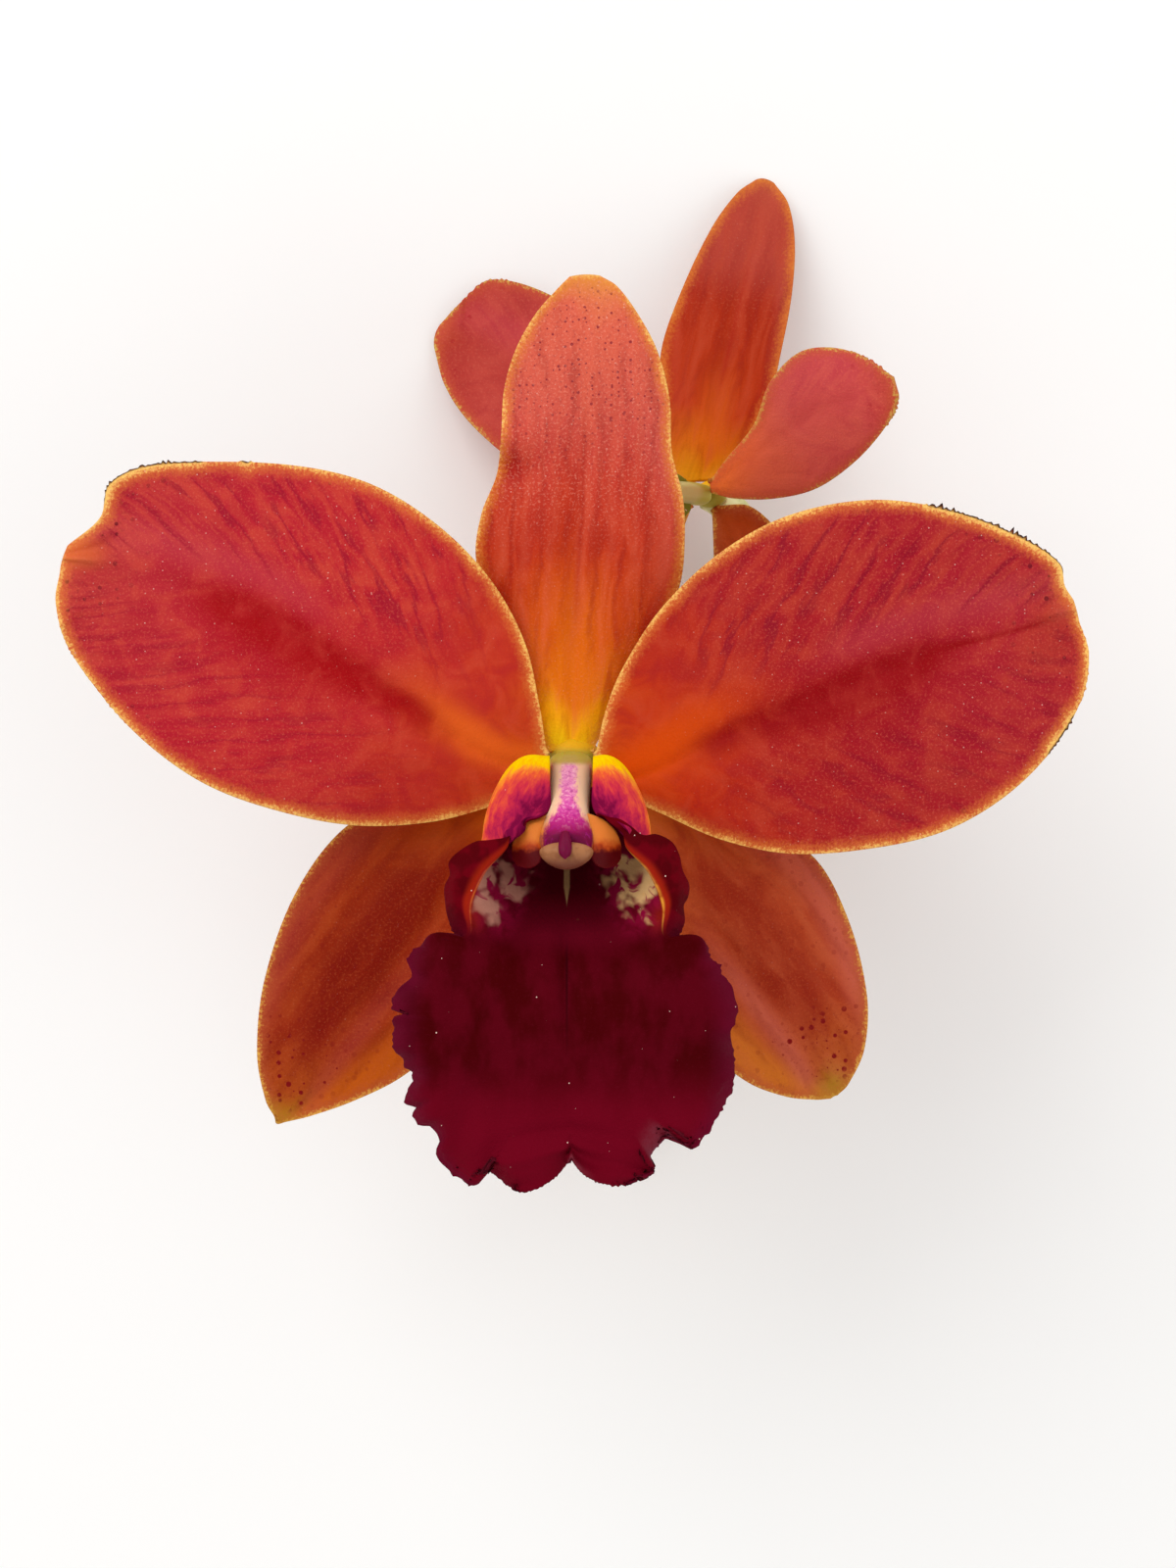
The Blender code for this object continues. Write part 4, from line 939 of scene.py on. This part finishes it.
def veins(tree, flow, apart, bend):
    """Lines along a blade's flow, wandering by bend: 0 on a line and 1 halfway to the next."""
    soft = add(tree, "VectorMath", {0: flow, 1: (*VEIN_WANDER, 1.0)}, operation="MULTIPLY")
    drift = add(tree, "TexNoise", {"Vector": soft, "Scale": 1.0, "Detail": 3.0, "Roughness": 0.65},
                noise_dimensions="2D")
    across = add(tree, "SeparateXYZ", {0: flow})
    across = add(tree, "Math", {0: drift, 1: bend, 2: across}, operation="MULTIPLY_ADD")
    inside = add(tree, "Math", {0: across, 1: apart}, operation="PINGPONG")
    return add(tree, "Math", {0: inside, 1: apart}, operation="DIVIDE")


def new_finish(name, masks, *vectors):
    """An empty material, its node tree, and the masks and vectors that it reads from the mesh."""
    made = bpy.data.materials.new(name)
    made.use_nodes = True
    tree = made.node_tree
    tree.nodes.clear()
    mask = {key: add(tree, "Attribute", attribute_name=key, out="Fac") for key in masks}
    return made, tree, mask, *(add(tree, "Attribute", attribute_name=key, out="Vector") for key in vectors)


def close_finish(tree, colour, roughness, height, depth, **fixed):
    """The shader that every living finish ends in. Values that are even all over go on its own sockets."""
    bump = add(tree, "Bump", {"Height": height, "Strength": 0.5, "Distance": depth * MM})
    inputs = {"Base Color": colour, "Roughness": roughness, "Normal": bump}
    inputs |= {key.replace("_", " "): value for key, value in fixed.items()}
    shader = add(tree, "BsdfPrincipled", inputs)
    add(tree, "OutputMaterial", {0: shader})


def tepal_finish(name, look):
    """Living petal: thin wet cells under a waxy skin. Its colour lies deep and even, veins show
    darker through it, and the cells give a soft, faintly grainy sheen. Its tiny bright points are
    painted highlights."""
    made, tree, mask, flow, place = new_finish(
        name, ("along", "warm", "band", "pale", "veined", "dotted", "grainy", "rim", "tooth", "tip",
               "reverse"), "flow", "place")
    lies = flow if look["lies"] == "flow" else place
    # The colour along the blade, with its borders blurred by slow clouds.
    wander = clouds(tree, lies, 5.0, 2.0, 0.6, 0.0, look["stretch"])
    shifted = add(tree, "Math", {0: wander, 1: 2 * LENGTH_BLUR, 2: mask["along"]}, operation="MULTIPLY_ADD")
    shifted = add(tree, "Math", {0: shifted, 1: LENGTH_BLUR}, operation="SUBTRACT")
    length = add(tree, "ValToRGB", {0: shifted}, stops=look["length"])
    mottle = clouds(tree, lies, look["mottle_size"], 3.0, 0.6, 0.5, look["stretch"])
    # Veins: broken strokes along the flow, and a fainter, closer net between them.
    broken = clouds(tree, place, 2.6, 2.0)
    ends = clouds(tree, flow, 2.4, 2.0, 0.55, 0.0, (0.8, 0.5, 1.0))
    strokes = add(tree, "MapRange", {"Value": ends, "From Min": 0.34, "From Max": 0.54},
                  interpolation_type="SMOOTHSTEP")
    lines = veins(tree, flow, look["vein_gap"], look["vein_bend"])
    net = veins(tree, flow, look["vein_gap"] * 0.55, look["vein_bend"] * 1.7)
    streaked = add(tree, "MapRange", {"Value": mottle, "From Min": 0.7, "From Max": 0.4, "To Min": 0.6})
    flecks = dots(tree, place, look["dot_gap"], look["dot_size"], look["dots_kept"])
    speckle = clouds(tree, place, 0.4, 2.0, 0.7)
    # Rim: how far in from the margin, made ragged.
    ragged = clouds(tree, place, 0.28, 3.0, 0.8)
    edge = add(tree, "Math", {0: ragged, 1: 1.5, 2: mask["rim"]}, operation="MULTIPLY_ADD")
    edge = add(tree, "Math", {0: broken, 1: 0.7, 2: edge}, operation="MULTIPLY_ADD")
    wide = look["rim_width"] + RIM_START
    grain = clouds(tree, place, CELL_GRAIN, 2.0, 0.75)
    painted_glint = dots(tree, place, 0.8, 0.08, 0.35)
    colour = paint(
        tree, length,
        (look["mottle"], mottle, 0.42, 0.76, look["mottled"]),
        (look["shade"], mottle, 0.58, 0.26, look["shaded"]),
        (look["warm"], mask["warm"], 0.0, 1.0, look["warmth"]),
        (look["pale"], mask["pale"], 0.0, 1.0, look["paleness"]),
        (look["mottle"], lines, 0.45, 1.0, look["mottled"] * 0.7, [mask["veined"]]),
        (look["vein"], net, look["vein_width"], 0.0, look["veining"] * 0.3, [broken, mask["veined"]]),
        (look["vein"], lines, look["vein_width"], 0.05, look["veining"], [strokes, mask["veined"]]),
        (look["band"], mask["band"], 0.0, 1.0, look["banding"], [streaked]),
        (look["dot"], flecks, 0.0, 1.0, look["dotting"], [mask["dotted"]]),
        (look["dot"], speckle, 0.54, 0.72, look["dotting"] * 0.35, [mask["dotted"]]),
        (look["rim_inner"], edge, wide + 1.3, wide, 0.75),
        (look["rim"], edge, wide + 0.4, wide - 0.3, 0.9),
        # On the petals tip is a painted highlight by the fold near the tip; on the sepals it is the tip's own
        # colour.
        (look["tip"], mask["tip"], 0.0, 1.0, look["tipped"]),
        (BURNT_TOOTH, mask["tooth"], 0.35, 0.7),
        (look["grain"], grain, 0.5, 0.78, look["grained"], [mask["grainy"]]),
        # Tiny bright points: painted highlights.
        (PAINTED_GLINT, painted_glint, 0.0, 1.0, look["painted_glinting"], [broken, mask["grainy"]]),
        (look["back"], mask["reverse"], 0.0, 1.0, 0.4))
    roughness = add(tree, "MapRange", {"Value": grain, "To Min": 0.42, "To Max": 0.62})
    close_finish(tree, colour, roughness, grain, 0.12, Specular_IOR_Level=0.07)
    return made


def lip_finish(name, young):
    """Lip: the same living skin, raised in velvety points on the mid-lobe, so that it drinks light.
    A violet bloom on the crests of its frills and folds and a few tiny bright points are painted
    highlights, and the glow where light shines through the folded sides is painted too. The rolled
    sides are smoother and waxy."""
    made, tree, mask, place, streak = new_finish(
        name, ("along", "reach", "lobe", "flare", "glow", "cream", "lit", "painted_red_glow", "yellow", "sheen",
               "outside"), "place", "streak")
    x, y = (add(tree, "SeparateXYZ", {0: place}, out=axis) for axis in (0, 1))
    x = add(tree, "Math", {0: x}, operation="ABSOLUTE")
    # Throat: plum with cream patches at its sides and a cream tongue down its middle.
    patches = clouds(tree, place, 2.9, 2.5, 0.6, 0.2)
    spots = clouds(tree, place, 1.3, 2.0, 0.5, 0.5)
    plum = paint(tree, "68061C", ("A01040", spots, 0.3, 0.65, 0.9, [mask["cream"]]))
    cream = paint(tree, "D89884", ("F8CC8C", mask["lit"]), ("F0B03C", patches, 0.6, 0.75, 0.6, [mask["lit"]]),
                  ("A81048", spots, 0.52, 0.64))
    shown = add(tree, "Math", {0: mask["cream"], 1: 0.36, 2: patches}, operation="MULTIPLY_ADD")
    tongue = add(tree, "MapRange", {"Value": y, "From Min": -13.8, "From Max": -11.8, "To Max": 0.36})
    tongue = add(tree, "Math", {0: tongue, 1: x}, operation="SUBTRACT")
    # Mid-lobe and flares: nearly black crimson, brighter towards the tip, with painted shade as a dark
    # line down the crease at its middle.
    lobe = clouds(tree, place, 4.5, 3.0, 0.6, 0.0, (1.2, 0.7, 1.0))
    painted_crease_shade = add(tree, "MapRange", {"Value": y, "From Min": -28.0, "From Max": -21.0})
    lobe = paint(tree, "450004", ("570211", lobe, 0.32, 0.66), ("72041C", y, -27.0, -34.0, 0.8),
                 ("2C0006", x, 0.2, 0.0, 0.7, [painted_crease_shade]))
    flare = paint(tree, "64000E", ("500008", clouds(tree, place, 2.0), 0.4, 0.6))
    # Where the sides fold over, light shines through them.
    thin = add(tree, "MapRange", {"Value": spots, "From Min": 0.35, "From Max": 0.6, "To Min": 0.35})
    shine = paint(tree, "DC6C2C", ("FFB43C", mask["lit"]))
    sheen = clouds(tree, place, 0.9, 3.0, 0.7)
    # Outer face: yellow where it is thin and lit, running through orange to magenta by the column.
    lines = clouds(tree, streak, 0.8, 3.0, 0.65, 0.2, (1.0, 0.3, 1.0))
    across = add(tree, "Math", {0: lines, 1: 0.6, 2: mask["yellow"]}, operation="MULTIPLY_ADD")
    across = add(tree, "Math", {0: across, 1: 0.3}, operation="SUBTRACT")
    outer = add(tree, "ValToRGB", {0: across}, stops=ramp(
        (0.0, "FFE000"), (0.18, "FFC800"), (0.34, "F89830"), (0.5, "EC6034"), (0.7, "CC3044"),
        (0.88, "A41848"), (1.0, "78083A")))
    outer = paint(tree, outer, ("7C7A28", mask["along"], 0.24, 0.12, young), ("5E1020", mask["lobe"]))
    points = clouds(tree, place, VELVET_GRAIN, 2.0, 0.6)
    colour = paint(
        tree, plum,
        (cream, shown, 0.72, 0.92, 0.95),
        ("DCB87C", tongue, 0.0, 0.2, 0.9),
        (lobe, mask["lobe"]),
        ("640A28", mask["reach"], 0.7, 1.0, 0.7, [mask["lobe"]]),
        (flare, mask["flare"]),
        # Painted glow: red-orange round the fold, where light shines through.
        ("A4240C", mask["painted_red_glow"], 0.1, 1.0, 0.8),
        (shine, mask["glow"], 0.1, 1.0, 0.75, [thin]),
        # Painted highlights on the crests of the frills and folds.
        ("946070", mask["sheen"], 0.0, 1.0, 0.3, [sheen]),
        (outer, mask["outside"]),
        ("7A1830", points, 0.55, 0.8, 0.08, [mask["lobe"]]),
        # Tiny bright points: painted highlights.
        ("FFE0D0", dots(tree, place, 3.0, 0.08, 0.5), 0.0, 1.0, 0.8))
    close_finish(tree, colour, 0.7, points, 0.12, Specular_IOR_Level=0.02)
    return made


def column_finish(name, stem, stripe):
    """Column: fleshy and waxy, peach with a mottled magenta stripe, and orange wings dipped in
    dark crimson. The hub at its foot is yellow-green. The younger one is still pale green."""
    made, tree, mask, place = new_finish(name, ("wing", "tooth", "hub"), "place")
    x, y, z = (add(tree, "SeparateXYZ", {0: place}, out=axis) for axis in (0, 1, 2))
    x = add(tree, "Math", {0: x, 1: -0.2}, operation="SUBTRACT")
    x = add(tree, "Math", {0: x}, operation="ABSOLUTE")
    flecks = clouds(tree, place, 0.42, 3.0, 0.7, 0.5, (1.0, 0.6, 0.6), True)
    streaks = clouds(tree, place, 0.5, 3.0, 0.7, 0.3, (1.6, 0.35, 0.35), True)
    # The stripe widens and darkens towards the cap, with streaked sides.
    wider = add(tree, "MapRange", {"Value": y, "From Min": -4.0, "From Max": -6.6, "To Min": 1.4,
                                   "To Max": 3.0})
    ragged = add(tree, "Math", {0: streaks, 1: 1.5, 2: x}, operation="MULTIPLY_ADD")
    within = add(tree, "Math", {0: wider, 1: ragged}, operation="SUBTRACT")
    deeper = add(tree, "MapRange", {"Value": y, "From Min": -1.6, "From Max": -6.6})
    magenta = add(tree, "ValToRGB", {0: deeper}, stops=ramp(
        (0.0, "E88CC4"), (0.45, "E25CB4"), (0.7, "C82C8C"), (0.88, "A0085C"), (1.0, "780440")))
    speckled = add(tree, "MapRange", {"Value": y, "From Min": -6.2, "From Max": -3.6})
    magenta = paint(tree, magenta, ("FFD0D8", flecks, 0.5, 0.64, 0.65, [speckled]),
                    ("A01878", flecks, 0.46, 0.36, 0.6))
    low = add(tree, "Math", {0: clouds(tree, place, 0.6, 2.0, deep=True), 1: 1.0, 2: y},
              operation="MULTIPLY_ADD")
    wings = paint(tree, "E07C30", ("BC4414", low, -6.2, -7.2), ("5C040C", low, -6.9, -7.6))
    colour = paint(
        tree, stem,
        ("E88430", y, -4.4, -6.4),
        (magenta, within, -0.3, 0.25, stripe),
        ("B8B050", z, 1.8, 0.0),
        ("B0A43C", y, -0.8, -0.2, 0.9),
        (wings, mask["wing"]),
        (paint(tree, "A8A03C", ("E8AC14", y, 0.2, 1.3)), mask["hub"]),
        ("6C0434", mask["tooth"]))
    close_finish(tree, colour, 0.45, flecks, 0.06, Subsurface_Weight=0.35, Subsurface_Scale=1.4 * MM,
                 Subsurface_Radius=(1.0, 0.5, 0.4), Specular_IOR_Level=0.1)
    return made


def cap_finish():
    """Anther cap: tan, waxy and smooth, with painted shade darkening it towards the throat."""
    made, tree, _, place = new_finish("waxy_cap", (), "place")
    cloud = clouds(tree, place, 0.7, 3.0)
    y = add(tree, "SeparateXYZ", {0: place}, out=1)
    # Darker towards the throat: painted shade.
    colour = paint(tree, "A87048", ("8C5634", cloud, 0.42, 0.7, 0.7), ("70382C", y, -7.9, -9.2, 0.9))
    close_finish(tree, colour, 0.4, cloud, 0.05, Subsurface_Weight=0.2, Subsurface_Scale=0.8 * MM,
                 Subsurface_Radius=(1.0, 0.7, 0.4), Specular_IOR_Level=0.15)
    return made


def stalk_finish():
    """Fresh stalk: smooth green rind with paler lengthwise streaks, cream just under the blooms,
    fine pale pores, and pale fibrous pith where it was cut."""
    made, tree, mask, place = new_finish("green_stalk", ("along", "cut"), "place")
    streaks = clouds(tree, place, 1.3, 4.0, 0.6, 0.2, (1.0, 0.35, 0.35), True)
    pith = paint(tree, "D8D8A0", ("98A050", dots(tree, place, 0.5, 0.35, 0.7)))
    colour = paint(
        tree, "6E8A2C",
        ("A4AE52", streaks, 0.4, 0.7),
        ("E4E0A0", mask["along"], 0.28, 0.0),
        ("C9CC86", dots(tree, place, PORES_APART, PORE_SIZE, 0.5), 0.0, 1.0, 0.7),
        (pith, mask["cut"]))
    close_finish(tree, colour, 0.42, streaks, 0.1, Specular_IOR_Level=0.35)
    return made


def bract_finish():
    """Bract: dried to thin tan paper, with close lengthwise fibres and a brown tip."""
    made, tree, mask, flow = new_finish("dry_bract", ("along",), "flow")
    fibres = clouds(tree, flow, FIBRE_WIDTH, 3.0, 0.6, 0.1, (1.0, 0.12, 1.0))
    colour = paint(tree, "C2A068", ("8C6A3C", fibres, 0.4, 0.65), ("6A4424", mask["along"], 0.7, 1.0))
    close_finish(tree, colour, 0.75, fibres, 0.15, Specular_IOR_Level=0.2)
    return made


# A tepal's colours. length is its colour from base to tip. Each further colour has the amount that it
# hides beside it: mottle, shade, warm (the glow at the base), pale, vein, band (along the midrib), dot,
# tip, grain. On the petals, tip is a painted highlight by the fold near the tip. vein_width is a share of
# vein_gap, and gaps, sizes, widths and bends are millimetres.
PETAL_LOOK = dict(
    length=ramp((0.0, "CC4A08"), (0.16, "C0341A"), (0.36, "BC2428"), (0.62, "B81C2C"), (0.85, "B42430"),
                (1.0, "BC3C34")),
    mottle="D04C34", mottled=0.4, shade="A81426", shaded=0.4, warm="E8641C", warmth=0.85, pale="C03C48",
    paleness=0.5, lies="place", stretch=(1.0, 1.0, 1.0), mottle_size=3.2, vein="960828", veining=0.68,
    vein_gap=1.75, vein_width=0.5, vein_bend=8.0, band="A00008", banding=0.95, dot="64081C", dotting=0.85,
    dot_gap=1.5, dot_size=0.3, dots_kept=0.5, rim="FFD070", rim_inner="DC7434", rim_width=0.2,
    tip="DC6C34", tipped=0.7, grain="E46C54", grained=0.35, painted_glinting=0.7, back="C87040")
# The right petal: the left one's colours made darker all through as painted shade, with its own veins.
SHADED_RIGHT_PETAL_LOOK = dict(
    PETAL_LOOK,
    length=ramp((0.0, "CC4A08"), (0.16, "BC300C"), (0.36, "A81C1C"), (0.62, "A41424"), (0.85, "A81C2A"),
                (1.0, "B43428")),
    mottle="C0442C", shade="980E20", vein="840422", vein_bend=6.0, veining=0.65, band="900008",
    warm="D84C00", pale="B43844")
DORSAL_LOOK = dict(
    length=ramp((0.0, "FFD000"), (0.05, "FFB400"), (0.13, "E47800"), (0.26, "D05000"), (0.44, "C03414"),
                (0.64, "C83C30"), (0.88, "DC5C38"), (1.0, "E89038")),
    mottle="DC6044", mottled=0.3, shade="A42018", shaded=0.45, warm="E06C00", warmth=0.75, pale="D86456",
    paleness=0.45, lies="flow", stretch=(1.0, 0.2, 1.0), mottle_size=1.5, vein="8C1414", veining=0.28,
    vein_gap=1.25, vein_width=0.42, vein_bend=2.6, band="A01008", banding=0.9, dot="8A2430", dotting=0.85,
    dot_gap=0.6, dot_size=0.17, dots_kept=0.65, rim="FFD070", rim_inner="DC7C2C", rim_width=0.08,
    tip="E8963C", tipped=0.4, grain="FCA088", grained=0.4, painted_glinting=0.7, back="CC8040")
LATERAL_LOOK = dict(
    length=ramp((0.0, "D07400"), (0.2, "B84A04"), (0.45, "A03008"), (0.75, "98280A"), (0.92, "A04008"),
                (1.0, "A8640C")),
    mottle="B44A1C", mottled=0.4, shade="801802", shaded=0.5, warm="CC6008", warmth=0.7, pale="A83C34",
    paleness=0.4, lies="flow", stretch=(0.7, 0.3, 1.0), mottle_size=2.0, vein="801606", veining=0.35,
    vein_gap=1.2, vein_width=0.5, vein_bend=1.6, band="7C0C00", banding=0.85, dot="7C080C", dotting=1.0,
    dot_gap=1.0, dot_size=0.3, dots_kept=0.8, rim="ECB850", rim_inner="B4502C", rim_width=0.12,
    tip="B4881C", tipped=0.45, grain="CC6034", grained=0.25, painted_glinting=0.1, back="B87030")
RIGHT_LATERAL_LOOK = dict(
    LATERAL_LOOK,
    length=ramp((0.0, "D88010"), (0.2, "C45C20"), (0.45, "B44420"), (0.75, "AC3C1C"), (0.92, "AC4C18"),
                (1.0, "A8701C")),
    mottle="C45C38", shade="942410", pale="CC6450", paleness=0.7, band="8C1C08", banding=0.7,
    warm="D87820")
# The rear right petal: paler salmon, the grazing light on it painted in, with faint veins and bands.
LIT_REAR_RIGHT_PETAL_LOOK = dict(
    PETAL_LOOK,
    length=ramp((0.0, "F07830"), (0.2, "DC6440"), (0.5, "CC5048"), (0.8, "C44444"), (1.0, "BC3C30")),
    veining=0.1, dotting=0.6, banding=0.05, mottled=0.35, mottle="D8604C", shaded=0.3, shade="B43438",
    warmth=0.4, rim="D8C058", rim_inner="C05030", rim_width=0.0, dot="A01020", dot_size=0.36, dot_gap=1.6,
    tipped=0.2, painted_glinting=0.1)
REAR_DORSAL_LOOK = dict(
    DORSAL_LOOK,
    length=ramp((0.0, "E09000"), (0.1, "D46800"), (0.24, "B83808"), (0.6, "A42406"), (0.85, "A82A12"),
                (1.0, "B04020")),
    mottle="BC4428", mottled=0.4, shade="8C1604", dotting=0.05, pale="BC5044", tipped=0.05, rim="D89848",
    rim_width=-0.15, grain="D06A48", grained=0.2, banding=0.6, warmth=0.35, veining=0.2, painted_glinting=0.1)
REAR_LATERAL_LOOK = dict(
    LATERAL_LOOK,
    length=ramp((0.0, "B44C08"), (0.2, "A03408"), (0.6, "983008"), (1.0, "A04008")),
    dotting=0.2, pale="A8340C", warm="A43C08", warmth=0.5, paleness=0.3)
REAR_LEFT_LOOK = dict(
    LIT_REAR_RIGHT_PETAL_LOOK,
    length=ramp((0.0, "D86028"), (0.3, "C04434"), (0.7, "B43A34"), (1.0, "B03428")),
    mottle="C85040", shade="A02C28", grain="D06450")
LOOKS = {
    "front_dorsal_sepal": DORSAL_LOOK, "rear_dorsal_sepal": REAR_DORSAL_LOOK,
    "front_petal_left": PETAL_LOOK, "front_petal_right": SHADED_RIGHT_PETAL_LOOK,
    "rear_petal_left": REAR_LEFT_LOOK, "rear_petal_right": LIT_REAR_RIGHT_PETAL_LOOK,
    "front_lateral_sepal_left": LATERAL_LOOK, "front_lateral_sepal_right": RIGHT_LATERAL_LOOK,
    "rear_lateral_sepal_left": REAR_LATERAL_LOOK, "rear_lateral_sepal_right": REAR_LATERAL_LOOK,
}


def make_blooms():
    """All the pieces of both blooms, each with its finish."""
    for seed, (name, blade) in zip(TEPAL_SEEDS, BLADES.items()):
        petal, front = "petal" in name, name.startswith("front")
        steps = REAR_STEPS if not front else FRONT_PETAL_STEPS if petal else FRONT_SEPAL_STEPS
        make_blade(name, blade, steps, tepal_finish(name + "_skin", LOOKS[name]), seed)
    cap = cap_finish()
    for bloom, rear, steps, lip, column in (
            ("front", False, FRONT_LIP_STEPS, lip_finish("velvet_lip", 0.0),
             column_finish("waxy_column", "FFCEA8", 1.0)),
            ("rear", True, REAR_LIP_STEPS, lip_finish("young_lip", 1.0),
             column_finish("young_column", "C8BC78", 0.0))):
        make_lip(bloom + "_lip", rear, steps, lip, LIP_SEED)
        make_column(bloom + "_column", rear, column)
        make_cap(bloom + "_anther_cap", rear, cap)


def make_stems():
    """Ovaries with their pedicels, the cut stalk, and the bracts."""
    green, dry = stalk_finish(), bract_finish()
    for name, route in STALKS.items():
        make_stalk(name, route, green)
    for seed, (name, bract) in zip(BRACT_SEEDS, BRACTS.items()):
        make_bract(name, bract, dry, seed)


# Stage

def make_stage():
    """A plain pale floor in a plain pale studio."""
    mesh = bpy.data.meshes.new("floor")
    corners = ((-1, -1), (1, -1), (1, 1), (-1, 1))
    mesh.from_pydata([(x * FLOOR_HALF, y * FLOOR_HALF, 0) for x, y in corners], [], [(0, 1, 2, 3)])
    floor = bpy.data.objects.new("floor", mesh)
    floor.location.z = -FLOOR_DROP
    bpy.context.scene.collection.objects.link(floor)
    made, tree, _ = new_finish("pale_floor", ())
    shader = add(tree, "BsdfPrincipled", {"Base Color": linear("FAFAFA"), "Roughness": 0.9})
    add(tree, "OutputMaterial", {0: shader})
    mesh.materials.append(made)

    world = bpy.data.worlds.new("studio")
    bpy.context.scene.world = world
    world.use_nodes = True
    light = world.node_tree.nodes["Background"]
    light.inputs["Color"].default_value = WORLD_TINT
    light.inputs["Strength"].default_value = WORLD_LIGHT
    for name, place, size, power in LAMPS:
        lamp = bpy.data.lights.new(name, "AREA")
        lamp.size = size
        lamp.energy = power
        stand = bpy.data.objects.new(name, lamp)
        stand.location = place
        stand.rotation_euler = Vector(place).to_track_quat("Z", "Y").to_euler()
        bpy.context.scene.collection.objects.link(stand)


def make_camera():
    """The camera, straight above the front bloom."""
    lens = bpy.data.cameras.new("camera")
    lens.lens, lens.sensor_width, lens.clip_start = LENS, SENSOR, NEAREST
    camera = bpy.data.objects.new("camera", lens)
    camera.location = (FRONT_CENTRE + EYE) * MM
    bpy.context.scene.collection.objects.link(camera)
    bpy.context.scene.camera = camera


make_camera()
make_blooms()
make_stems()
make_stage()
bpy.context.scene.view_settings.view_transform = "Standard"
